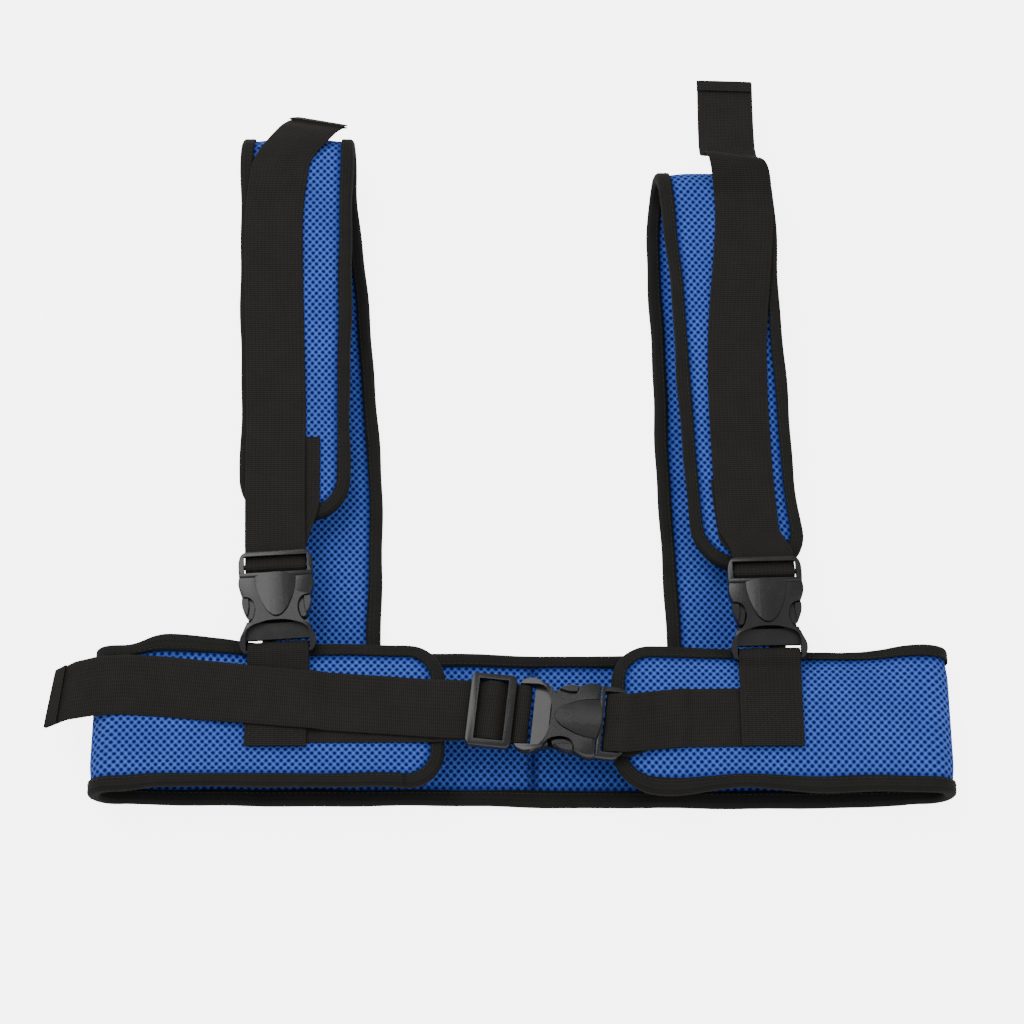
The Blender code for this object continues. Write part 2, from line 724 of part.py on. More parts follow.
def fine_crown(crown, radius):
    """Turns the crown's coarse roller into one whose top is finely faceted and lies along Y."""
    work = bmesh.new()
    bmesh.ops.create_cone(
        work, cap_ends=True, segments=96, radius1=radius, radius2=radius, depth=4 * SHIELD_LENGTH
    )
    work.to_mesh(crown.data)
    work.free()
    lie = Matrix.Rotation(math.pi / 2, 4, "X")
    crown.data.transform(Matrix.Translation((0, 0, BODY_HALF + 1.5 * MM - radius)) @ lie)


# ---------------------------------------------------------------- buckle frame, the male half
def frame_mesh():
    """The male half without its prongs: webbing frame, foot across the mouth and centre tongue."""
    wide, top = BUCKLE_HALF, FRAME_LENGTH
    foot = 3.3 * MM
    outline = mirrored(
        [
            (wide - 0.4 * MM, GAP, "c"),
            (wide - 0.2 * MM, top * 0.35, "r"),
            (wide - 0.7 * MM, top * 0.72, "r"),
            (wide - 2.6 * MM, top - 1.2 * MM, "r"),
            (wide - 5.4 * MM, top, "r"),
            (wide - 8 * MM, top, "c"),
        ]
    )
    body = outline_solid("frame_body", outline, FRAME_BOTTOM, FRAME_TOP, bevel=0.8 * MM)
    window = box_solid(
        "frame_window",
        (-WINDOW_HALF, foot, -20 * MM),
        (WINDOW_HALF, top - OUTER_BAR_WIDTH, 20 * MM),
    )
    under = box_solid(
        "frame_under_bar",
        (-WINDOW_HALF, top - OUTER_BAR_WIDTH - MM, -20 * MM),
        (WINDOW_HALF, top + 2 * MM, OUTER_BAR_BOTTOM),
    )
    centre = bar_solid(
        "frame_centre_bar", WINDOW_HALF + RAIL_WIDTH / 2, CENTRE_BAR_Y, CENTRE_BAR_Z, CENTRE_BAR_RADIUS
    )
    foot_block = box_solid(
        "frame_foot",
        (-wide + 0.9 * MM, GAP + 0.1 * MM, -BODY_HALF + 1.3 * MM),
        (wide - 0.9 * MM, foot - 0.1 * MM, BODY_HALF - 1.3 * MM),
        bevel=0.5 * MM,
    )
    half = TONGUE_WIDTH / 2
    tongue_outline = mirrored(
        [
            (half, foot - MM, "c"),
            (half, -TONGUE_LENGTH + 5 * MM, "c"),
            (half - 1.6 * MM, -TONGUE_LENGTH + 1.2 * MM, "r"),
            (half - 4 * MM, -TONGUE_LENGTH, "c"),
        ]
    )
    thick = CAVITY_HALF_HEIGHT - 0.6 * MM
    tongue = outline_solid("frame_tongue", tongue_outline, -thick + 0.4 * MM, thick, 0.4 * MM, 3, 0)
    slit = box_solid(
        "frame_tongue_slit",
        (-1.6 * MM, -TONGUE_LENGTH + 4 * MM, -10 * MM),
        (1.6 * MM, -3 * MM, 10 * MM),
    )
    steps = [
        ("DIFFERENCE", window),
        ("DIFFERENCE", under),
        ("UNION", centre),
        ("UNION", foot_block),
        ("UNION", tongue),
        ("DIFFERENCE", slit),
    ]
    return combine("frame", body, steps)


PRONG_ROOT_X = MOUTH_HALF - 5.4 * MM  # middle of a prong's root, on the axis it flexes about


def prong_mesh(side):
    """A latch arm with its head, about its root. side is 1 for the +X arm and -1 for the other."""
    root = PRONG_ROOT_X
    latch = -SHOULDER_LENGTH - GAP
    head = MOUTH_HALF + GRIP_OVERHANG
    arm = [
        (root - 1.9 * MM, 0, "c"),
        (root + 1.9 * MM, 0, "c"),
        (root + 2.0 * MM, latch * 0.55, "r"),
        (root + 2.8 * MM, latch + 1.1 * MM, "r"),
        (root + 3.4 * MM, latch, "c"),
        (head, latch, "c"),
        (head + 0.3 * MM, latch - 3.6 * MM, "r"),
        (head - 0.8 * MM, latch - 8.6 * MM, "r"),
        (root + 2.6 * MM, -PRONG_LENGTH + 0.6 * MM, "r"),
        (root + 1.0 * MM, -PRONG_LENGTH, "r"),
        (root - 0.4 * MM, -PRONG_LENGTH + 1.6 * MM, "r"),
        (root - 1.6 * MM, latch - 6 * MM, "r"),
        (root - 2.0 * MM, latch * 0.6, "r"),
    ]
    grip = [
        (root + 2.2 * MM, latch - 0.5 * MM, "c"),
        (head, latch, "c"),
        (head + 0.3 * MM, latch - 3.6 * MM, "r"),
        (head - 0.8 * MM, latch - 8.6 * MM, "r"),
        (root + 3.2 * MM, latch - 11.8 * MM, "c"),
        (root + 2.0 * MM, latch - 6 * MM, "r"),
    ]
    thick = CAVITY_HALF_HEIGHT - 0.6 * MM

    def turned(points):
        placed = [(side * (x - root), y, kind) for x, y, kind in points]
        return placed if side > 0 else placed[::-1]

    body = outline_solid(f"prong_arm_{side}", turned(arm), -thick, thick, 0.35 * MM, 2, 0)
    top = BODY_HALF - 0.9 * MM
    raised = outline_solid(f"prong_grip_{side}", turned(grip), -thick + 0.2 * MM, top, 0.35 * MM, 2, 0)
    return combine(f"prong_{side}", body, [("UNION", raised)])


# ---------------------------------------------------------------- tri-glide
def glide_mesh():
    """A ladder slide: two outer bars over the webbing and a lower centre bar under it."""
    half, wide = GLIDE_LENGTH / 2, BUCKLE_HALF + 0.1 * MM
    corner = 3.2 * MM
    outline = mirrored(
        [
            (wide - corner, half, "c"),
            (wide - 0.3 * corner, half - 0.3 * corner, "r"),
            (wide, half - corner, "c"),
            (wide, -half + corner, "c"),
            (wide - 0.3 * corner, -half + 0.3 * corner, "r"),
            (wide - corner, -half, "c"),
        ]
    )
    body = outline_solid("glide_body", outline, GLIDE_BOTTOM, GLIDE_TOP, bevel=0.9 * MM, resolution=3)
    inner = GLIDE_CENTRE / 2 + GLIDE_SLOT
    window = box_solid("glide_window", (-WINDOW_HALF, -inner, -20 * MM), (WINDOW_HALF, inner, 20 * MM))
    under = box_solid(
        "glide_under", (-WINDOW_HALF, -half - MM, -20 * MM), (WINDOW_HALF, half + MM, GLIDE_BAR_BOTTOM)
    )
    centre = box_solid(
        "glide_centre",
        (-wide + 1.5 * MM, -GLIDE_CENTRE / 2, GLIDE_BOTTOM + 0.2 * MM),
        (wide - 1.5 * MM, GLIDE_CENTRE / 2, GLIDE_BAR_BOTTOM),
        bevel=0.6 * MM,
    )
    return combine("glide", body, [("DIFFERENCE", window), ("DIFFERENCE", under), ("UNION", centre)])


# ---------------------------------------------------------------- buckles in place
def make_buckle(name, frame, housing, male_frame, prongs, moving_housing, prong_names):
    """One side-release buckle: housing, male frame and its two prongs, each about its own axis."""
    slide = make_frame(f"{name}_release_slide", Matrix.Identity(4), frame)
    home = Matrix.Identity(4)
    make_object(
        f"{name}_buckle_housing", housing.copy(), ACETAL_BLACK, slide if moving_housing else frame, home
    )
    male_parent = frame if moving_housing else slide
    make_object(f"{name}_buckle_frame", male_frame.copy(), ACETAL_BLACK, male_parent, home)
    for side, prong_name in zip((1, -1), prong_names):
        root = Matrix.Translation((side * PRONG_ROOT_X, 0, 0))
        make_object(f"{name}_prong_{prong_name}", prongs[side].copy(), ACETAL_BLACK, male_parent, root)
    return slide


def waist_frame_matrix():
    """The plane of the wings: Y up the slope, Z out of their outer face."""
    return Matrix.Translation((0, 0, WING_MID_Z)) @ Matrix.Rotation(-WING_TILT, 4, "X")


def waist_buckle_matrix():
    place = Matrix.Translation((BUCKLE_SEAM_X, BUCKLE_SEAM_Y, WAIST_BUCKLE_Z))
    return place @ Matrix.Rotation(WAIST_YAW - math.pi / 2, 4, "Z")


def shoulder_buckle_matrix(strap):
    """Local Y = 0 is the mouth, so the housing's end lies over the wing's top edge."""
    way = Vector((-math.sin(strap.yaw), math.cos(strap.yaw), 0))
    end = Vector((strap.stub_x, BELT_HEIGHT / 2 - strap.overlap, shoulder_z()))
    return Matrix.Translation(end + way * HOUSING_LENGTH) @ Matrix.Rotation(strap.yaw, 4, "Z")


# ---------------------------------------------------------------- webbing
def make_webbing(name, centre, across, parent=None):
    """A strip of webbing along a centre line, as wide as across says, thickened to both sides."""
    centre, across = np.asarray(centre, float), np.asarray(across, float)
    across = across / np.linalg.norm(across, axis=1, keepdims=True) * WEBBING_WIDTH / 2
    points = np.stack([centre - across, centre + across], axis=1)
    thing = make_object(name, grid_mesh(name, points), WEBBING_BLACK, parent)
    add_thickness(thing, WEBBING_THICK)
    return thing


def arc(y, z, radius, first, last):
    """Points round a bar, in a buckle's own (y, z). Angles in degrees, from +y towards +z."""
    angles = np.radians(np.linspace(first, last, FACETS + 1))
    return np.stack([y + radius * np.cos(angles), z + radius * np.sin(angles)], axis=-1)


def place_run(matrix, run):
    """A run of a buckle's own (y, z) points put in place, with the direction across it."""
    run = np.asarray(run, float)
    turn, shift = np.array(matrix.to_3x3()), np.array(matrix.translation)
    points = np.stack([0 * run[:, 0], run[:, 0], run[:, 1]], axis=-1) @ turn.T + shift
    return points, np.tile(turn[:, 0], (len(run), 1))


def housing_loop(over=90):
    """Round the housing's bar: in under it, up through the slot and back over it, this far."""
    return arc(BAR_Y, 0, LOOP_RADIUS, -90, over)


def adjuster_run():
    """In under both bars, up round the centre bar, and out under the outer bar again."""
    upper = LOWER_Z + LAYER_PITCH
    outer = FRAME_LENGTH - OUTER_BAR_WIDTH
    around = arc(CENTRE_BAR_Y, CENTRE_BAR_Z, CENTRE_LOOP, -90, -280)
    inside = [(FRAME_LENGTH + 4 * MM, LOWER_Z)]
    outside = [(outer - 0.5 * MM, upper), (FRAME_LENGTH + 0.4 * MM, upper), (FRAME_LENGTH + 5 * MM, upper)]
    return np.concatenate([inside, around, outside])


def sewn_frame_run():
    """In under both bars, up round the centre bar, and out over the outer bar."""
    over = FRAME_TOP + GAP + WEBBING_THICK / 2
    around = arc(CENTRE_BAR_Y, CENTRE_BAR_Z, CENTRE_LOOP, -90, -262)
    inside = [(FRAME_LENGTH + 5 * MM, LOWER_Z)]
    outside = [(FRAME_LENGTH - OUTER_BAR_WIDTH - 0.9 * MM, over), (FRAME_LENGTH + 0.6 * MM, over)]
    return np.concatenate([inside, around, outside])


def glide_run(level):
    """Under one outer bar, over the centre bar and under the other, at this level, towards +y."""
    half, slot = GLIDE_LENGTH / 2, GLIDE_CENTRE / 2 + GLIDE_SLOT
    over = level + GLIDE_RISE
    low, high = slot - 0.5 * MM, GLIDE_CENTRE / 2 + 0.4 * MM
    ys = [-half - 0.5 * MM, -low, -high, high, low, half + 0.3 * MM]
    zs = [level, level, over, over, level, level]
    return np.stack([GLIDE_Y + np.array(ys), np.array(zs)], axis=-1)


def waist_webbings(waist):
    """The two lengths sewn on the wings: an adjustable one with its tail, and a fixed one."""
    buckle = waist_buckle_matrix()
    level = [0.0, 1.0, 0.0]
    first, second, third = LYING, LYING + LAYER_PITCH, LYING + 2 * LAYER_PITCH
    sewn_start = LEFT.stub_x - WEBBING_WIDTH / 2 + 1.5 * MM
    wing_edge = LEFT_WING_END - 8 * MM
    sewn = [(sewn_start, 0.5 * MM, first), ((sewn_start + wing_edge) / 2, 0.5 * MM, first)]
    sewn.append((wing_edge, 0.8 * MM, first + 0.2 * MM))
    hardware = np.concatenate([glide_run(GLIDE_LOWER), housing_loop(125), glide_run(GLIDE_UPPER)[::-1]])
    run, run_across = place_run(buckle, hardware)
    stub_right, stub_left = LEFT.stub_x + WEBBING_WIDTH / 2, LEFT.stub_x - WEBBING_WIDTH / 2
    tail = [
        (wing_edge - 4 * MM, 3.4 * MM, second + 0.3 * MM),
        (wing_edge - 25 * MM, 5.0 * MM, second + 0.2 * MM),
        (stub_right + 12 * MM, 7.6 * MM, second + 0.3 * MM),
        (stub_right + 3 * MM, 8.2 * MM, third + 0.2 * MM),
        (stub_left - 3 * MM, 9.6 * MM, third + 0.2 * MM),
        (stub_left - 22 * MM, 10.4 * MM, second),
        (stub_left - 50 * MM, 10.8 * MM, first + 1.2 * MM),
        (WAIST_TAIL_END + 28 * MM, 10.6 * MM, first + 1.6 * MM),
        (WAIST_TAIL_END + 2 * MM, 9.6 * MM, first + 0.4 * MM),
    ]
    lean = [(-0.045, 1.0, 0.0)] * 3 + [(-0.03, 1.0, 0.0)] * 4 + [(0.05, 1.0, 0.0), (0.08, 1.0, 0.0)]
    centre = np.concatenate([sewn, run, tail])
    across = np.concatenate([[level] * 3, -run_across, lean])
    make_webbing("waist_webbing_adjustable", centre, across, waist)

    fixed_end = RIGHT.stub_x + WEBBING_WIDTH / 2 - 1.5 * MM
    short_end = RIGHT_WING_END + 43 * MM
    run, run_across = place_run(buckle, sewn_frame_run())
    lower = [(short_end, -4 * MM, first), (short_end - 22 * MM, -5.5 * MM, first)]
    upper = [
        (RIGHT_WING_END + 27 * MM, -5.6 * MM, second + 0.2 * MM),
        (short_end, -4.4 * MM, second),
        (short_end + 6 * MM, -4 * MM, first),
        (fixed_end, -3 * MM, first),
    ]
    centre = np.concatenate([lower, run, upper])
    across = np.concatenate([[level] * 2, -run_across, [level] * 4])
    make_webbing("waist_webbing_fixed", centre, across, waist)


def make_stub(strap):
    """The stub that holds a shoulder buckle: down over the wing, and back under itself."""
    buckle = shoulder_buckle_matrix(strap)
    slope = math.tan(WING_TILT)
    side = (1.0, 0.0, 0.0)

    def on_wing(y, level):
        lift = level / math.cos(WING_TILT)
        return strap.stub_x, y, WING_MID_Z - y * slope + lift

    loop, loop_across = place_run(buckle, housing_loop()[::-1])
    second, first = LYING + LAYER_PITCH, LYING
    down = [on_wing(-20.5 * MM, second), on_wing(20 * MM, second), on_wing(BELT_HEIGHT / 2 - 17 * MM, second)]
    back = [on_wing(BELT_HEIGHT / 2 - 15 * MM, first), on_wing(22.5 * MM, first)]
    centre = np.concatenate([down, loop, back])
    across = np.concatenate([[side] * 3, loop_across, [side] * 2])
    make_webbing(f"{strap.name}_stub_webbing", centre, across)


def make_strap_webbing(strap):
    """Sewn on the strap, round the buckle's centre bar, and back up over the fold as a tail."""
    buckle = shoulder_buckle_matrix(strap)
    base = strap_base(strap)
    first, second = -LYING, -LYING - LAYER_PITCH
    run, run_across = place_run(buckle, adjuster_run())
    sewn_s = strap.length - 60 * MM
    reach_y = max(strap.tip_y, run[0][1]) + 9 * MM
    lower_s = np.linspace(sewn_s, strap.s_at(reach_y), 3)
    lower = raise_from(base, lower_s, 0.0, first)

    def drift(s):
        climbed = strap.length - s
        places, shifts = zip(*strap.tail_drift)
        return np.interp(climbed, places, shifts)

    upper_s = np.concatenate(
        [
            [strap.s_at(reach_y + 6 * MM), sewn_s + 6 * MM, sewn_s - 8 * MM],
            np.linspace(sewn_s - 45 * MM, strap.front_s, 5),
            strap.front_s - STRAP_FOLD_REACH * np.linspace(0, math.pi / 2, 5)[1:-1],
        ]
    )
    levels = np.where(upper_s > sewn_s - 2 * MM, second, first)
    upper = raise_from(base, upper_s, -drift(upper_s), levels)
    crown = upper[-1]
    ends = crown + np.array(strap.tail_end)
    centre = np.concatenate([lower, run, upper, ends])
    side = [(1.0, 0.0, 0.0)]
    across = np.concatenate([side * 3, run_across, side * (len(upper) + len(ends))])
    make_webbing(f"{strap.name}_strap_webbing", centre, across)


# ---------------------------------------------------------------- the whole
def main():
    make_belt()
    waist = make_frame("wing_plane", waist_frame_matrix())
    housing, male_frame, glide = housing_mesh(), frame_mesh(), glide_mesh()
    prongs = {side: prong_mesh(side) for side in (1, -1)}

    buckle = make_frame("waist_buckle_axis", waist_buckle_matrix(), waist)
    slide = make_buckle("waist", buckle, housing, male_frame, prongs, True, ("lower", "upper"))
    glide_axis = make_frame("tri_glide_slide", Matrix.Translation((0, GLIDE_Y, 0)), slide)
    make_object("waist_tri_glide", glide, ACETAL_BLACK, glide_axis)
    waist_webbings(waist)

    for strap in (LEFT, RIGHT):
        make_strap(strap)
        make_stub(strap)
        make_strap_webbing(strap)
        axis = make_frame(f"{strap.name}_buckle_axis", shoulder_buckle_matrix(strap))
        sides = ("inner", "outer") if strap is LEFT else ("outer", "inner")
        make_buckle(strap.name, axis, housing, male_frame, prongs, False, sides)


main()
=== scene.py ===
"""Finished looks of a padded gait belt with two over-shoulder straps, folded flat on a table.

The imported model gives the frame: where the buckles are, which way they slide, and the hardware's
own shapes. The soft goods are built here as surfaces over the same mid-surfaces as the model's:
padded panels of open spacer mesh, folded edge tape, woven webbing and the thread that holds them.

Frame: metres, +X along the belt, +Y towards the shoulders, +Z up from the table.
"""

from __future__ import annotations

import json
import logging
import math
from dataclasses import dataclass, field
from enum import Enum
from typing import Callable, Sequence

import bpy
import numpy as np
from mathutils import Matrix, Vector

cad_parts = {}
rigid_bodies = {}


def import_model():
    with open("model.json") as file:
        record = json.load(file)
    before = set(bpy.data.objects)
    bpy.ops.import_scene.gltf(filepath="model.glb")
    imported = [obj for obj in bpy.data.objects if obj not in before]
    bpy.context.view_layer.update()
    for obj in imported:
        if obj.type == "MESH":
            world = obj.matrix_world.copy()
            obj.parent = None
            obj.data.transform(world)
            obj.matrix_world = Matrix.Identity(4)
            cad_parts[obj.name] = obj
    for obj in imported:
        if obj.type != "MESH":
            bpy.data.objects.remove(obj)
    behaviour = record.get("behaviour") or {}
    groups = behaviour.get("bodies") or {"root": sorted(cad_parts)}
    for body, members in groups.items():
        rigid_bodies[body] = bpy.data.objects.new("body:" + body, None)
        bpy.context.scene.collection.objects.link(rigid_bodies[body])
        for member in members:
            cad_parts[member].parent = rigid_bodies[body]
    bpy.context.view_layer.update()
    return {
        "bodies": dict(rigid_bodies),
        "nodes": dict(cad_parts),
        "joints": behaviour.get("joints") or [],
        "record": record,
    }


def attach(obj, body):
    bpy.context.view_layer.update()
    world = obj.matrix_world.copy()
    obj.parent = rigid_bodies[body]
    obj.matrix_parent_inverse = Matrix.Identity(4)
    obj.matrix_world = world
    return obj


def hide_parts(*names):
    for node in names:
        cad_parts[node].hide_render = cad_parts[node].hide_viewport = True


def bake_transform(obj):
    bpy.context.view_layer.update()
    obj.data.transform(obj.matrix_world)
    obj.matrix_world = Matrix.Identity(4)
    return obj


LOG = logging.getLogger("gait_belt")
Array = np.ndarray
Surface = Callable[[Array, Array], Array]
Socket = bpy.types.NodeSocket

MM = 0.001
CLOTH_MAP = "cloth"  # UV map of every woven piece, in metres along and across it
EDGE_DEPTH = "edge_depth"  # each pad point's distance inside the bound edge, in metres


# ================================================================ sizes shared by the pieces
@dataclass(frozen=True)
class Padding:
    """How thick the padding is, and how its edge tape sits on it."""

    thick: float = 8 * MM
    squeeze: float = 0.68
    swell: float = 11 * MM
    tape_width: float = 8.5 * MM
    tape_thick: float = 0.8 * MM
    tape_gap: float = 0.3 * MM
    seam_inset: float = 1.5 * MM  # from the tape's free edge to its stitches
    inset: float = 2.4 * MM
    skin: float = 0.8 * MM

    @property
    def mesh_level(self) -> float:
        """Height of a face mesh's middle over the pad's mid-surface."""
        return self.thick / 2 - self.skin / 2

    @property
    def tape_level(self) -> float:
        """Height of the edge tape's outer face over the mid-surface."""
        return self.squeeze * self.mesh_level + self.skin / 2 + self.tape_gap + self.tape_thick

    def loft(self, depth: Array) -> Array:
        """The share of the whole thickness at this depth inside the bound edge.

        It is the squeeze under the tape, and rises by a smooth step over the swell.
        """
        swollen = smooth_step((depth - self.tape_width) / self.swell)
        return self.squeeze + (1 - self.squeeze) * swollen


@dataclass(frozen=True)
class Webbing:
    """The woven strap's section, and the levels at which it lies on a pad."""

    width: float = 38 * MM
    thick: float = 1.4 * MM
    gap: float = 0.3 * MM
    pitch: float = 2.0 * MM

    @property
    def thread_level(self) -> float:
        """Height of a stitch's middle over the webbing's own."""
        return self.thick / 2 + 0.02 * MM

    @property
    def seam_half(self) -> float:
        """Half the length of a row of stitches across the webbing."""
        return self.width / 2 - 1.5 * MM

    def level(self, pad: Padding, layer: int = 0) -> float:
        """Height of a lying layer's middle over the pad's mid-surface."""
        return pad.thick / 2 + self.gap + self.thick / 2 + layer * self.pitch


PAD = Padding()
WEB = Webbing()
HEM_LENGTH = 9 * MM
HEM_ROWS = (2 * MM, 8 * MM)  # distances of a hem's two stitch rows from the webbing's end


# ================================================================ numbers and surfaces
def smooth_step(x: Array) -> Array:
    """Zero below 0, one above 1 and 3x^2 - 2x^3 between."""
    x = np.clip(x, 0, 1)
    return x * x * (3 - 2 * x)


def rounded_line(
    at: Array, places: Sequence[float], values: Sequence[float], reach: float
) -> Array:
    """Straight lines through values at places, rounded by averaging them over a reach each way."""
    near = np.linspace(-reach, reach, 7)
    return np.mean([np.interp(at + d, places, values) for d in near], axis=0)


def unit(v: Array) -> Array:
    """Vectors scaled to length one along the last axis."""
    return v / np.maximum(np.linalg.norm(v, axis=-1, keepdims=True), 1e-12)


def run_along(points: Array) -> Array:
    """Distance along a line at each of its points."""
    return np.concatenate([[0], np.cumsum(np.linalg.norm(np.diff(points, axis=0), axis=1))])


def values_at(at: Array, run: Array, values: Array) -> Array:
    """Values between a line's points, at these distances along it. Doubled points are left out."""
    keep = np.concatenate([[True], np.diff(run) > 1e-9])
    return np.stack([np.interp(at, run[keep], column) for column in values[keep].T], axis=-1)


def in_mm(*values: float) -> tuple[float, ...]:
    """Values given in millimetres, in metres."""
    return tuple(value * MM for value in values)


def raise_from(base: Surface, s: Array, t: Array, n: Array) -> Array:
    """Points at height n over a mid-surface.

    The normal is the cross product of the surface's central differences along s and t.

    Args:
        base: the mid-surface, a function of s and t.
        s: distances along it.
        t: distances across it.
        n: heights over it.

    Returns:
        Points, with the shape of the three together and a last axis of three.
    """
    step = 0.1 * MM
    s, t, n = np.broadcast_arrays(*(np.asarray(v, float) for v in (s, t, n)))
    along = base(s + step, t) - base(s - step, t)
    across = base(s, t + step) - base(s, t - step)
    return base(s, t) + n[..., None] * unit(np.cross(along, across))


def grid_quads(
    rows: int, columns: int, closed_rows: bool = False, closed_columns: bool = False
) -> Array:
    """Corner numbers of the quads of a grid of points, which may close on itself either way.

    Args:
        rows: points along the first axis.
        columns: points along the second.
        closed_rows: whether the last row joins the first.
        closed_columns: whether the last column joins the first.

    Returns:
        An array of quads, four point numbers each.
    """
    index = np.arange(rows * columns).reshape(rows, columns)
    if closed_rows:
        index = np.concatenate([index, index[:1]])
    if closed_columns:
        index = np.concatenate([index, index[:, :1]], axis=1)
    corners = index[:-1, :-1], index[1:, :-1], index[1:, 1:], index[:-1, 1:]
    return np.stack(corners, axis=-1).reshape(-1, 4)


@dataclass
class Cloth:
    """Points, quads and cloth coordinates of one piece, before it is a mesh."""

    points: Array
    quads: Array
    cloth: Array

    def outward(self) -> "Cloth":
        """The same piece with its faces out: quads are reversed if the signed volume is negative."""
        a, b, c, d = (self.points[self.quads[:, k]] for k in range(4))
        volume = np.einsum("ij,ij->", a, np.cross(b, c)) + np.einsum("ij,ij->", a, np.cross(c, d))
        return self if volume > 0 else Cloth(self.points, self.quads[:, ::-1], self.cloth)

    def joined(self, *others: "Cloth") -> "Cloth":
        """This piece and others as one."""
        parts = (self, *others)
        starts = np.cumsum([0] + [len(p.points) for p in parts[:-1]])
        return Cloth(
            np.concatenate([p.points for p in parts]),
            np.concatenate([p.quads + start for p, start in zip(parts, starts)]),
            np.concatenate([p.cloth for p in parts]),
        )

    def shown(self, name: str, smooth: bool = True) -> bpy.types.Object:
        """An object of this shape, at the origin.

        Args:
            name: the piece's name.
            smooth: whether its faces are smooth shaded.

        Returns:
            The linked object, with the cloth coordinates as a UV map.
        """
        mesh = bpy.data.meshes.new(name)
        mesh.from_pydata(self.points.tolist(), [], self.quads.tolist())
        layer = mesh.uv_layers.new(name=CLOTH_MAP)
        corners = np.zeros(len(mesh.loops), np.int32)
        mesh.loops.foreach_get("vertex_index", corners)
        layer.data.foreach_set("uv", self.cloth[corners].astype(np.float32).ravel())
        mesh.polygons.foreach_set("use_smooth", np.full(len(mesh.polygons), smooth))
        mesh.update()
        piece = bpy.data.objects.new(name, mesh)
        bpy.context.scene.collection.objects.link(piece)
        return piece


def carried_section(rings: Array, cloth: Array, closed: bool) -> Cloth:
    """A closed section carried along a path, one ring of points for each place on it.

    The section's first half is its outer side and the second half its inner side, listed back, so
    an open end is closed by quads between the halves.

    Args:
        rings: points, (places, section, 3).
        cloth: cloth coordinates, (places, section, 2).
        closed: whether the path closes.

    Returns:
        The closed surface, faces out.
    """
    places, section = rings.shape[:2]
    quads = [grid_quads(places, section, closed_rows=closed, closed_columns=True)]
    if not closed:
        j = np.arange(section // 2 - 1)
        cap = np.stack([j, j + 1, section - 2 - j, section - 1 - j], axis=-1)
        quads += [cap[:, ::-1], cap + (places - 1) * section]
    return Cloth(rings.reshape(-1, 3), np.concatenate(quads), cloth.reshape(-1, 2)).outward()


# ================================================================ mid-surfaces of the padding
@dataclass(frozen=True)
class EdgeShape:
    """How one long edge of the belt strays from straight: its rise in Y and lift in Z along X."""

    side: int
    on_wings: bool
    places: tuple[float, ...]
    rise: tuple[float, ...]
    lift: tuple[float, ...] = ()
    reach: float = 9 * MM

    def at(self, x: Array) -> tuple[Array, Array]:
        """The rise and the lift at these places along X. Without a lift the edge stays level."""
        lift = self.lift or (0.0,) * len(self.places)
        return tuple(rounded_line(x, self.places, v, self.reach) for v in (self.rise, lift))


WING_TOP = EdgeShape(
    1,
    True,
    in_mm(-252, -236, -207, -182, -166, 60, 97, 122, 150, 202, 232, 251),
    in_mm(1, 7, 6.4, 4, 0.5, 0, -1.2, -3, -3.5, -5, -2, 0),
    in_mm(0, 3.5, 4, 2, 0, 0, -0.5, -2.5, -4, -5.5, -1.5, 0),
)
WING_BOTTOM = EdgeShape(
    -1,
    True,
    in_mm(-250, -228, -85, -55, 62, 92, 134, 178, 215),
    in_mm(0, 3, 3, 0, 0, -3.5, 3.8, -1.7, 0),
    in_mm(0, 0, 0, 0, 0, -0.8, 0.8, 0, 0),
)
BACK_BOTTOM = EdgeShape(
    -1, False, in_mm(-245, -200, -20, 40, 210, 245), in_mm(0, -1.5, -1.5, -3, -3, 0)
)
BACK_TOP = EdgeShape(
    1, False, in_mm(-110, -70, -25, 6, 40, 100), in_mm(0, 1.4, 1.2, -1.4, -0.4, 0)
)


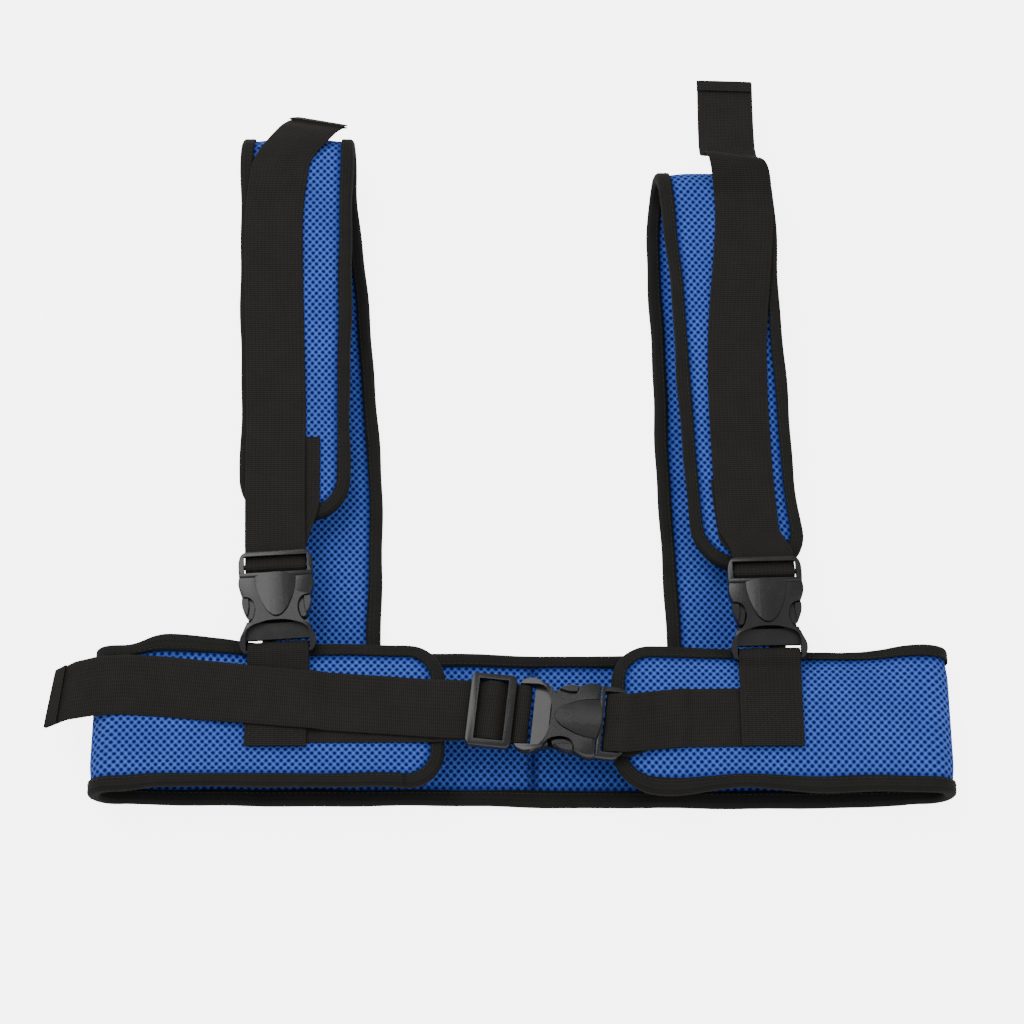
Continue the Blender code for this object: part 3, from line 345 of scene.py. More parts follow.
@dataclass(frozen=True)
class BeltLay:
    """How the waist belt lies: a back panel, a half-turn at each side and two sloping wings."""

    span: float = 530 * MM
    height: float = 95 * MM
    gap_top: float = 14 * MM
    gap_bottom: float = 24 * MM
    reach: float = 13 * MM
    left_wing_end: float = -47 * MM
    right_wing_end: float = 55 * MM
    corner: float = 25 * MM
    back_seam: float = 7 * MM
    lap: float = 1.0 * MM  # how far each panel reaches past the back seam
    edge_waver: float = 0.5 * MM
    edge_lift: float = 0.8 * MM
    under_buckle: float = 387 * MM  # distance along, under a shoulder buckle
    calm_half: float = 50 * MM  # the top edge neither lifts nor dips this near to it
    edges: tuple[EdgeShape, ...] = (WING_TOP, WING_BOTTOM, BACK_BOTTOM, BACK_TOP)

    @property
    def flat_half(self) -> float:
        """Half the length of the flat panels."""
        return self.span / 2 - PAD.thick / 2 - self.reach

    @property
    def wing_start(self) -> float:
        """Distance along the belt at which a wing starts."""
        return self.flat_half + math.pi * self.reach

    @property
    def tilt(self) -> float:
        """The wings' slope across the belt."""
        return math.atan2(self.gap_bottom - self.gap_top, self.height)

    @property
    def wing_z(self) -> float:
        """Height of the wings' mid-surface on the belt's middle line."""
        return PAD.thick * 1.5 + (self.gap_top + self.gap_bottom) / 2

    @property
    def left_end(self) -> float:
        """Length of the left half, from X = 0 round to its rounded end."""
        return self.wing_start + self.flat_half + self.left_wing_end

    @property
    def right_end(self) -> float:
        """Length of the right half."""
        return self.wing_start + self.flat_half - self.right_wing_end

    def base(self, s: Array, t: Array) -> Array:
        """Mid-surface: straight, then a half ellipse in X and Z, then straight back.

        The edges waver along the belt by sines that fade to nothing towards its middle line. A
        wing's edges also lift and dip a little, but not its top edge under a shoulder buckle. Each
        long edge has its own larger bends.
        """
        along = np.abs(s)
        turn = np.clip((along - self.flat_half) / self.reach, 0, math.pi)
        x = np.minimum(along, self.flat_half) + self.reach * np.sin(turn)
        x = x - np.maximum(along - self.wing_start, 0)
        edge = np.clip(np.abs(t) / (self.height / 2), 0, 1) ** 3
        on_wing = smooth_step((along - self.wing_start) / (30 * MM))
        waver = self.edge_waver * (np.sin(s * 47 + 1.3) + 0.6 * np.sin(s * 113 + 0.4)) / 1.6
        near = smooth_step((self.calm_half - np.abs(along - self.under_buckle)) / (20 * MM))
        calm = 1 - near * (t > 0)
        dip = self.edge_lift * np.sin(s * 61 + np.sign(t) * 0.9) * edge * on_wing * calm
        lift = self.wing_z - PAD.thick / 2 - t * math.tan(self.tilt)
        z = PAD.thick / 2 + lift / 2 * (1 - np.cos(turn)) + dip
        x, y = np.sign(s) * x, t + waver * edge * np.sign(t) + 0 * s
        on_back = 1 - smooth_step((along - self.flat_half + 15 * MM) / (15 * MM))
        for shape in self.edges:
            rise, lift = shape.at(x)
            share = edge * (t * shape.side > 0) * (on_wing if shape.on_wings else on_back)
            y, z = y + rise * share, z + lift * share
        return np.stack([x, y, z], axis=-1)


@dataclass(frozen=True)
class StrapLay:
    """How a shoulder strap lies: up from the belt's back edge, over a fold and down again."""

    side: str
    back_length: float
    xs: tuple[float, ...]
    tip_z: float
    front_length: float = 279 * MM
    belt_height: float = 95 * MM
    width: float = 74 * MM
    narrowing: float = 0.055
    narrows_over: float = 190 * MM
    corner: float = 28 * MM
    reach: float = 17 * MM
    fold_lift: float = 34 * MM
    edge_waver: float = 0.7 * MM
    belt_gap: float = 0.3 * MM  # between the strap's start and the belt's edge
    flat_tip: float = 45 * MM  # the front leg lies level this far from its tip
    rounding: float = 24 * MM  # each way, of the line that X follows

    @property
    def tip_y(self) -> float:
        """Where the rounded tip ends."""
        return self.belt_height / 2 + self.back_length - self.front_length

    @property
    def turn_y(self) -> float:
        """Where the fold's half-turn starts."""
        return self.belt_height / 2 + self.back_length - PAD.thick / 2 - self.reach

    @property
    def turn_s(self) -> float:
        """Distance along the strap at which the fold starts."""
        return self.turn_y - self.belt_height / 2 - self.belt_gap

    @property
    def front_s(self) -> float:
        """Distance along the strap at which its front leg starts."""
        return self.turn_s + math.pi * self.reach

    @property
    def length(self) -> float:
        """The strap's whole length."""
        return self.front_s + self.turn_y - self.tip_y

    def s_at(self, y: float) -> float:
        """Distance along the strap at which its front leg is at this Y."""
        return self.front_s + self.turn_y - y

    def base(self, s: Array, t: Array) -> Array:
        """Mid-surface: flat on the table, a half ellipse in Y and Z, then down a smooth slope.

        X follows a line through seven places along the strap, rounded by averaging the line over
        a short stretch each way. The front leg draws in a little, and the edges waver by sines.
        """
        mid = self.s_at(0.6 * self.tip_y + 76 * MM)
        back = [share * self.turn_s for share in (0, 0.27, 0.62, 1)]
        x = rounded_line(s, [*back, self.front_s, mid, self.length], self.xs, self.rounding)
        turn = np.clip((s - self.turn_s) / self.reach, 0, math.pi)
        front = np.maximum(s - self.front_s, 0)
        y = self.belt_height / 2 + self.belt_gap + np.minimum(s, self.turn_s)
        y = y + self.reach * np.sin(turn) - front
        z = PAD.thick / 2 + self.fold_lift / 2 * (1 - np.cos(turn))
        top_z, flat_y = PAD.thick / 2 + self.fold_lift, self.tip_y + self.flat_tip
        slope = smooth_step((y - flat_y) / (self.turn_y - flat_y))
        z = np.where(front > 0, self.tip_z + (top_z - self.tip_z) * slope, z)
        edge = np.clip(np.abs(t) / (self.width / 2), 0, 1) ** 3
        waver = self.edge_waver * (np.sin(s * 53 + 0.7) + 0.6 * np.sin(s * 127 + 2.1)) / 1.6
        width = 1 - self.narrowing * smooth_step(front / self.narrows_over)
        return np.stack([x - t * width - waver * edge * np.sign(t), y + 0 * t, z + 0 * t], axis=-1)


# ================================================================ shader building
class Wiring:
    """Adds nodes to one tree and links them, left to right."""

    def __init__(self, tree: bpy.types.NodeTree) -> None:
        """Starts at the tree's left edge.

        Args:
            tree: the node tree to add to.
        """
        self.tree = tree
        self.column = 0

    def node(self, kind: str, inputs: dict | None = None, **settings: object) -> bpy.types.Node:
        """Adds a node.

        Args:
            kind: the node's type name.
            inputs: values or sockets by input name or number.
            settings: properties of the node.

        Returns:
            The new node.
        """
        made = self.tree.nodes.new(kind)
        made.location = (self.column, -40 * (len(self.tree.nodes) % 9))
        self.column += 60
        for key, value in settings.items():
            setattr(made, key, value)
        for key, value in (inputs or {}).items():
            self.feed(value, made.inputs[key])
        return made

    def feed(self, value: object, socket: Socket) -> None:
        """Links a socket to an input, or sets the input to a value."""
        if isinstance(value, bpy.types.NodeSocket):
            self.tree.links.new(value, socket)
        else:
            socket.default_value = value

    def math(self, operation: str, *values: object, clamp: bool = False) -> Socket:
        """A Math node's result for these values or sockets."""
        inputs = dict(enumerate(values))
        return self.node("ShaderNodeMath", inputs, operation=operation, use_clamp=clamp).outputs[0]

    def ramp(
        self, value: object, low: object, high: object, first: float = 0, last: float = 1
    ) -> Socket:
        """A smooth step of a value from low to high, onto the range from first to last."""
        names = "Value", "From Min", "From Max", "To Min", "To Max"
        inputs = dict(zip(names, (value, low, high, first, last)))
        made = self.node("ShaderNodeMapRange", inputs, interpolation_type="SMOOTHSTEP")
        return made.outputs["Result"]

    def blend(self, share: object, first: object, second: object) -> Socket:
        """A colour between two, by this share of the second."""
        made = self.node("ShaderNodeMix", data_type="RGBA")
        for value, index in ((share, 0), (first, 6), (second, 7)):
            self.feed(value, made.inputs[index])
        return made.outputs[2]

    def noise(
        self, vector: Socket, scale: object, detail: float = 2, roughness: float = 0.5
    ) -> Socket:
        """Soft noise over a vector."""
        inputs = {"Vector": vector, "Scale": scale, "Detail": detail, "Roughness": roughness}
        return self.node("ShaderNodeTexNoise", inputs).outputs["Fac"]


def new_group(name: str, inputs: dict[str, object], outputs: Sequence[str]) -> tuple:
    """An empty shader group with named sockets.

    Args:
        name: the group's name.
        inputs: each input's name and value; a None value makes it a vector.
        outputs: names of its value outputs.

    Returns:
        The group, its wiring, and its input and output nodes.
    """
    group = bpy.data.node_groups.new(name, "ShaderNodeTree")
    for key, value in inputs.items():
        kind = "NodeSocketVector" if value is None else "NodeSocketFloat"
        socket = group.interface.new_socket(key, in_out="INPUT", socket_type=kind)
        if value is not None:
            socket.default_value = value
    for key in outputs:
        group.interface.new_socket(key, in_out="OUTPUT", socket_type="NodeSocketFloat")
    wiring = Wiring(group)
    return group, wiring, wiring.node("NodeGroupInput"), wiring.node("NodeGroupOutput")


class Effects:
    """Shader groups that several finishes share."""

    def __init__(self) -> None:
        """Builds every group once."""
        self.open_knit = self.make_open_knit()
        self.ribbed_weave = self.make_ribbed_weave()
        self.wear = self.make_wear()

    @staticmethod
    def make_open_knit() -> bpy.types.NodeTree:
        """Spacer mesh: staggered holes between crossing strands.

        Two lattices, the second shifted by half a cell both ways, give each point's distance to the
        nearest hole's middle. A hole is a smooth step of that distance, and the strands are crowned
        between holes. Knots are where the nearest hole is farthest. Fine yarn lines run diagonally
        both ways over the strands.
        """
        cell = {"Along": 4.6 * MM, "Across": 5.0 * MM, "Hole": 0.88 * MM, "Ragged": 0.5 * MM}
        sizes = {"Cloth": None, **cell}
        group, w, given, out = new_group("open_knit", sizes, ("Hole", "Height", "Yarn", "Knot"))
        parts = w.node("ShaderNodeSeparateXYZ", {0: given.outputs["Cloth"]})
        ragged = w.math("SUBTRACT", w.noise(given.outputs["Cloth"], 650, 1), 0.5)
        ragged = w.math("MULTIPLY", ragged, given.outputs["Ragged"])
        distances = []
        for shift in (0.0, 0.5):
            squares = []
            for axis, pitch in (("X", "Along"), ("Y", "Across")):
                cell = w.math("DIVIDE", parts.outputs[axis], given.outputs[pitch])
                cell = w.math("SUBTRACT", w.math("FRACT", w.math("ADD", cell, shift + 100)), 0.5)
                squares.append(w.math("POWER", w.math("MULTIPLY", cell, given.outputs[pitch]), 2.0))
            distances.append(w.math("SQRT", w.math("ADD", *squares)))
        near = w.math("ADD", w.math("MINIMUM", *distances), ragged)
        rim = w.math("MULTIPLY", given.outputs["Hole"], 1.55)
        inner = w.math("MULTIPLY", given.outputs["Hole"], 0.72)
        w.feed(w.ramp(near, inner, rim, 1, 0), out.inputs["Hole"])
        w.feed(w.ramp(near, inner, w.math("MULTIPLY", rim, 1.25)), out.inputs["Height"])
        low, high = (w.math("MULTIPLY", rim, share) for share in (0.95, 1.6))
        w.feed(w.ramp(near, low, high), out.inputs["Knot"])
        lines = []
        for sign in (1, -1):
            lean = w.math("MULTIPLY_ADD", parts.outputs["Y"], 1.15 * sign, parts.outputs["X"])
            lines.append(w.math("SINE", w.math("MULTIPLY", lean, 2 * math.pi / (0.62 * MM))))
        yarn = w.math("MULTIPLY_ADD", w.math("MAXIMUM", *lines), 0.5, 0.5)
        w.feed(yarn, out.inputs["Yarn"])
        return group

    @staticmethod
    def make_ribbed_weave() -> bpy.types.NodeTree:
        """Woven tape: ribs across it, each made of short floats set side by side.

        A rib is the square root of a sine's size along the tape. The floats are a sine across it,
        shifted by half in every other rib, and faint lines run along the tape by a slower sine. The
        selvedge is where the distance to the nearer side runs out.
        """
        sizes = {"Cloth": None, "Pitch": 1.3 * MM, "Float": 1.1 * MM, "Half Width": 19 * MM}
        group, w, given, out = new_group("ribbed_weave", sizes, ("Height", "Shade", "Selvedge"))
        parts = w.node("ShaderNodeSeparateXYZ", {0: given.outputs["Cloth"]})
        ribs = w.math("DIVIDE", parts.outputs["X"], given.outputs["Pitch"])
        wave = w.math("SINE", w.math("MULTIPLY", ribs, math.pi))
        crown = w.math("SQRT", w.math("ABSOLUTE", wave))
        odd = w.math("MULTIPLY", w.math("FLOOR", ribs), 0.5)
        floats = w.math("ADD", w.math("DIVIDE", parts.outputs["Y"], given.outputs["Float"]), odd)
        side = w.math("MULTIPLY_ADD", w.math("SINE", w.math("MULTIPLY", floats, 2 * math.pi)), 0.5, 0.5)
        height = w.math("MULTIPLY_ADD", side, 0.35, w.math("MULTIPLY", crown, 0.65))
        w.feed(height, out.inputs["Height"])
        patchy = w.noise(given.outputs["Cloth"], 55, 3, 0.6)
        fuzz = w.noise(given.outputs["Cloth"], 2600, 2, 0.7)
        warp = w.math("SINE", w.math("MULTIPLY", parts.outputs["Y"], 2 * math.pi / (2.4 * MM)))
        shade = w.math("MULTIPLY_ADD", fuzz, 0.25, w.math("MULTIPLY_ADD", patchy, 0.35, -0.25))
        shade = w.math("MULTIPLY_ADD", warp, 0.07, shade)
        # The rib's height lightens its colour: a painted highlight on the crowns, over random tone.
        w.feed(w.math("MULTIPLY_ADD", height, 0.8, shade), out.inputs["Shade"])
        off_middle = w.math("ABSOLUTE", parts.outputs["Y"])
        margin = w.math("SUBTRACT", given.outputs["Half Width"], off_middle)
        w.feed(w.ramp(margin, 0.4 * MM, 1.6 * MM, 1, 0), out.inputs["Selvedge"])
        return group

    @staticmethod
    def make_wear() -> bpy.types.NodeTree:
        """Moulded surface: fine grain, and hazy rubbed patches broken by thin scuffs."""
        sizes = {"Place": None, "Grain": 2400}
        group, w, given, out = new_group("wear", sizes, ("Grain", "Rubbed", "Scuffs"))
        place = given.outputs["Place"]
        w.feed(w.noise(place, given.outputs["Grain"]), out.inputs["Grain"])
        w.feed(w.ramp(w.noise(place, 60, 4, 0.6), 0.42, 0.68), out.inputs["Rubbed"])
        stretched = w.node("ShaderNodeMapping", {"Vector": place, "Scale": (900, 130, 500)})
        scuffs = w.noise(stretched.outputs["Vector"], 1, 3, 0.7)
        w.feed(w.ramp(scuffs, 0.66, 0.74), out.inputs["Scuffs"])
        return group


@dataclass(frozen=True)
class Finish:
    """A material: its name, its main colour, and how it is dressed."""

    name: str
    colour: tuple[float, float, float]
    roughness: float

    def start(self) -> tuple[bpy.types.Material, Wiring, bpy.types.Node]:
        """A new material with its wiring and its Principled shader."""
        material = bpy.data.materials.new(self.name)
        material.use_nodes = True
        shader = material.node_tree.nodes["Principled BSDF"]
        shader.inputs["Base Color"].default_value = (*self.colour, 1)
        shader.inputs["Roughness"].default_value = self.roughness
        return material, Wiring(material.node_tree), shader

    def build(self, effects: Effects) -> bpy.types.Material:
        """The finished material. Each kind of finish has its own."""
        raise NotImplementedError


def cloth_vector(w: Wiring) -> Socket:
    """The piece's own cloth coordinates, in metres."""
    return w.node("ShaderNodeUVMap", uv_map=CLOTH_MAP).outputs["UV"]


def placed(w: Wiring, group: bpy.types.NodeTree, inputs: dict) -> bpy.types.Node:
    """A shader group placed in a material with its own values."""
    node = w.node("ShaderNodeGroup", node_tree=group)
    for key, value in inputs.items():
        w.feed(value, node.inputs[key])
    return node


def bumped(
    w: Wiring, shader: bpy.types.Node, height: Socket, depth: float, strength: float = 1.0
) -> None:
    """Feeds a height to the shader's normal through one Bump node, depth in metres."""
    bump = w.node("ShaderNodeBump", {"Height": height, "Distance": depth, "Strength": strength})
    w.feed(bump.outputs["Normal"], shader.inputs["Normal"])


@dataclass(frozen=True)
class SpacerMesh(Finish):
    """Open polyester spacer mesh: blue strands with painted highlights, and painted shade in the holes
    for the shaded layer seen through them.
    """

    # The hole colour is painted shade, for the shaded layer seen through the holes.
    hole_shade_colour: tuple[float, float, float] = (0.001, 0.005, 0.11)
    # The light colour is a painted highlight, taken by the knots and the yarn crowns.
    painted_highlight_colour: tuple[float, float, float] = (0.1, 0.2, 0.78)
    # The navy is painted shade beside the edge tape and the back seam.
    edge_shade_colour: tuple[float, float, float] = (0.004, 0.012, 0.12)

    def build(self, effects: Effects) -> bpy.types.Material:
        """Strands with painted highlights by yarn and knots, darker patches, painted shade in the holes
        and beside the tape, and the relief.
        """
        material, w, shader = self.start()
        cloth = cloth_vector(w)
        knit = placed(w, effects.open_knit, {"Cloth": cloth})
        patches = w.ramp(w.noise(cloth, 38, 3, 0.6), 0.3, 0.7)
        # Painted highlight: the strands lighten towards the light colour at the knots and along the
        # yarn lines.
        lit = w.math("MULTIPLY", knit.outputs["Yarn"], 0.3)
        lit = w.math("MULTIPLY_ADD", knit.outputs["Knot"], 0.7, lit, clamp=True)
        strand = w.blend(lit, (*self.colour, 1), (*self.painted_highlight_colour, 1))
        dull = tuple(c * 0.55 for c in self.colour)
        muted = w.blend(w.math("MULTIPLY", patches, 0.22), strand, (*dull, 1))
        # Painted shade: the mesh darkens towards navy within a few millimetres of the tape and the
        # seam.
        depth = w.node("ShaderNodeAttribute", attribute_name=EDGE_DEPTH).outputs["Fac"]
        shade_by_edge = w.ramp(depth, PAD.tape_width - MM, PAD.tape_width + 5 * MM, 0.65, 0)
        shade_by_edge = w.blend(shade_by_edge, muted, (*self.edge_shade_colour, 1))
        # The holes take the painted shade colour.
        w.feed(w.blend(knit.outputs["Hole"], shade_by_edge, (*self.hole_shade_colour, 1)), shader.inputs["Base Color"])
        w.feed(w.ramp(knit.outputs["Hole"], 0, 1, self.roughness, 0.95), shader.inputs["Roughness"])
        shader.inputs["Specular IOR Level"].default_value = 0.12
        height = w.math("MULTIPLY_ADD", knit.outputs["Yarn"], 0.16, knit.outputs["Height"])
        bumped(w, shader, height, 0.9 * MM)
        return material


@dataclass(frozen=True)
class Woven(Finish):
    """Woven webbing or edge tape, near black, with a painted highlight on its rib crowns."""

    # The light colour is a painted highlight, taken by the rib crowns.
    light: tuple[float, float, float] = (0.024, 0.0228, 0.0208)
    pitch: float = 1.3 * MM
    float_width: float = 1.1 * MM
    half_width: float = 19 * MM
    relief: float = 0.34 * MM

    def build(self, effects: Effects) -> bpy.types.Material:
        """Rib colour, a painted highlight on the crowns over random tone, and relief in cloth
        coordinates.
        """
        material, w, shader = self.start()
        sizes = {"Pitch": self.pitch, "Float": self.float_width, "Half Width": self.half_width}
        weave = placed(w, effects.ribbed_weave, {"Cloth": cloth_vector(w), **sizes})
        # The weave's shade mixes random tone with a painted highlight by rib height.
        share = w.math("MULTIPLY", weave.outputs["Shade"], 1.0, clamp=True)
        edged = w.math("ADD", share, w.math("MULTIPLY", weave.outputs["Selvedge"], 0.15), clamp=True)
        w.feed(w.blend(edged, (*self.colour, 1), (*self.light, 1)), shader.inputs["Base Color"])
        w.feed(w.ramp(share, 0, 1, self.roughness, self.roughness - 0.14), shader.inputs["Roughness"])
        shader.inputs["Specular IOR Level"].default_value = 0.1
        bumped(w, shader, weave.outputs["Height"], self.relief)
        return material


@dataclass(frozen=True)
class Thread(Finish):
    """Twisted sewing thread."""

    def build(self, effects: Effects) -> bpy.types.Material:
        """Plain colour broken by the ply, which is a fine wave in the piece's own place."""
        material, w, shader = self.start()
        place = w.node("ShaderNodeTexCoord").outputs["Object"]
        ply = w.noise(place, 3200, 1)
        light = tuple(min(1.0, c * 2.2) for c in self.colour)
        w.feed(w.blend(ply, (*self.colour, 1), (*light, 1)), shader.inputs["Base Color"])
        bumped(w, shader, ply, 0.08 * MM)
        return material


@dataclass(frozen=True)
class MouldedAcetal(Finish):
    """Satin moulded plastic, rubbed here and there."""

    rubbed: tuple[float, float, float] = (0.02, 0.02, 0.0195)

    def build(self, effects: Effects) -> bpy.types.Material:
        """Grain as relief, rubbed patches in colour and gloss."""
        material, w, shader = self.start()
        place = w.node("ShaderNodeTexCoord").outputs["Object"]
        wear = placed(w, effects.wear, {"Place": place})
        patch = w.math("MULTIPLY", wear.outputs["Rubbed"], 0.35)
        worn = w.math("MULTIPLY_ADD", wear.outputs["Scuffs"], 0.3, patch, clamp=True)
        w.feed(w.blend(worn, (*self.colour, 1), (*self.rubbed, 1)), shader.inputs["Base Color"])
        w.feed(w.ramp(worn, 0, 1, self.roughness, self.roughness + 0.14), shader.inputs["Roughness"])
        shader.inputs["Specular IOR Level"].default_value = 0.42
        bumped(w, shader, wear.outputs["Grain"], 0.05 * MM, 0.6)
        return material


class FinishName(Enum):
    """The finishes on this belt."""

    MESH = SpacerMesh("blue_spacer_mesh", (0.042, 0.098, 0.47), 0.75)
    WEBBING = Woven("black_webbing", (0.0036, 0.0034, 0.003), 0.75)
    TAPE = Woven(
        "black_edge_tape",
        (0.003, 0.003, 0.0028),
        0.8,
        # light: a painted highlight on the tape's rib crowns
        light=(0.021, 0.0203, 0.019),
        pitch=0.9 * MM,
        float_width=0.8 * MM,
        half_width=16 * MM,
        relief=0.14 * MM,
    )
    THREAD = Thread("black_thread", (0.004, 0.004, 0.004), 0.6)
    ACETAL = MouldedAcetal("dark_acetal", (0.005, 0.005, 0.005), 0.27)


class Wardrobe:
    """Builds each finish once and puts it on pieces."""

    slots = {
        FinishName.MESH: "spacer_mesh",
        FinishName.WEBBING: "webbing",
        FinishName.TAPE: "binding_tape",
        FinishName.THREAD: "webbing",
        FinishName.ACETAL: "buckle_plastic",
    }

    def __init__(self) -> None:
        """Builds the shared effects and then the finishes."""
        effects = Effects()
        self.materials = {name: name.value.build(effects) for name in FinishName}

    def dress(self, piece: bpy.types.Object, finish: FinishName) -> bpy.types.Object:
        """Gives a new piece its material."""
        piece.data.materials.clear()
        piece.data.materials.append(self.materials[finish])
        return piece

    def redress(self, node: bpy.types.Object, finish: FinishName) -> None:
        """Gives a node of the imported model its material."""
        for slot in node.material_slots:
            slot.link = "OBJECT"
            slot.material = self.materials[finish]


# ================================================================ thread
@dataclass
class Stitching:
    """Rows of stitches: short rounded bars laid end to end along lines."""

    name: str
    length: float = 2.6 * MM
    spacing: float = 3.4 * MM
    radius: float = 0.28 * MM
    rows: list[tuple[Array, Array]] = field(default_factory=list)

    def add(self, line: Array, up: Array) -> None:
        """Adds a row.

        Args:
            line: points along the row, (n, 3).
            up: directions out of the cloth there.
        """
        self.rows.append((np.asarray(line, float), np.broadcast_to(up, np.shape(line))))

    def shape(self) -> Cloth:
        """Every stitch as a closed bar.

        A stitch is a grid of five rings of six points: the ring's size is the square root of
        1 - x^2 along the stitch, and its middle rises by the same curve, so that its ends sink in.
        """
        places, ways, outs = [], [], []
        for line, up in self.rows:
            run = run_along(line)
            count = max(1, int(run[-1] / self.spacing))
            at = (np.arange(count) + 0.5) * run[-1] / count
            before, after = (values_at(at + d * self.length / 2, run, line) for d in (-1, 1))
            places.append(values_at(at, run, line))
            ways.append(unit(after - before))
            outs.append(unit(values_at(at, run, up)))
        centre, way, out = (np.concatenate(v)[:, None, None] for v in (places, ways, outs))
        side = unit(np.cross(out, way))
        x = np.array([-1, -0.72, 0, 0.72, 1])[None, :, None, None]
        girth = np.sqrt(1 - (x * 0.97) ** 2)
        angle = (np.arange(6) * math.pi / 3)[None, None, :, None]
        rings = centre + x * way * self.length / 2 + out * self.radius * (girth * 0.9 - 0.45)
        rings = rings + girth * self.radius * (np.cos(angle) * side + np.sin(angle) * out)
        one = np.concatenate(
            [
                grid_quads(5, 6, closed_columns=True),
                np.array([[3, 2, 1, 0], [5, 4, 3, 0], [24, 25, 26, 27], [24, 27, 28, 29]]),
            ]
        )
        count = len(rings)
        quads = (one[None] + (np.arange(count) * 30)[:, None, None]).reshape(-1, 4)
        points = rings.reshape(-1, 3)
        return Cloth(points, quads, np.zeros((len(points), 2))).outward()

    def sewn(self, wardrobe: Wardrobe, body: str) -> bpy.types.Object:
        """The stitches as one dressed piece that rides on a body."""
        piece = wardrobe.dress(self.shape().shown(self.name), FinishName.THREAD)
        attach(piece, body)
        LOG.info("%s: %d stitch rows", self.name, len(self.rows))
        return piece


# ================================================================ padding
@dataclass(frozen=True)
class Outline:
    """A panel from s = start to a rounded end at s = end."""

    start: float
    end: float
    width: float
    corner: float

    def half_at(self, s: Array) -> Array:
        """Half the panel's width inside its tape: a circle's height where the corner turns."""
        radius = self.corner - PAD.inset
        past = np.clip(np.abs(s) - (abs(self.end) - self.corner), 0, radius)
        return self.width / 2 - self.corner + np.sqrt(radius**2 - past**2)

    def depth(self, s: Array, t: Array) -> Array:
        """Distance inside the bound edge: to the nearest side, or to the corner's circle."""
        past = np.abs(s) - (abs(self.end) - self.corner)
        over = np.abs(t) - (self.width / 2 - self.corner)
        straight = np.minimum(self.corner - past, self.corner - over)
        return np.where((past > 0) & (over > 0), self.corner - np.hypot(past, over), straight)


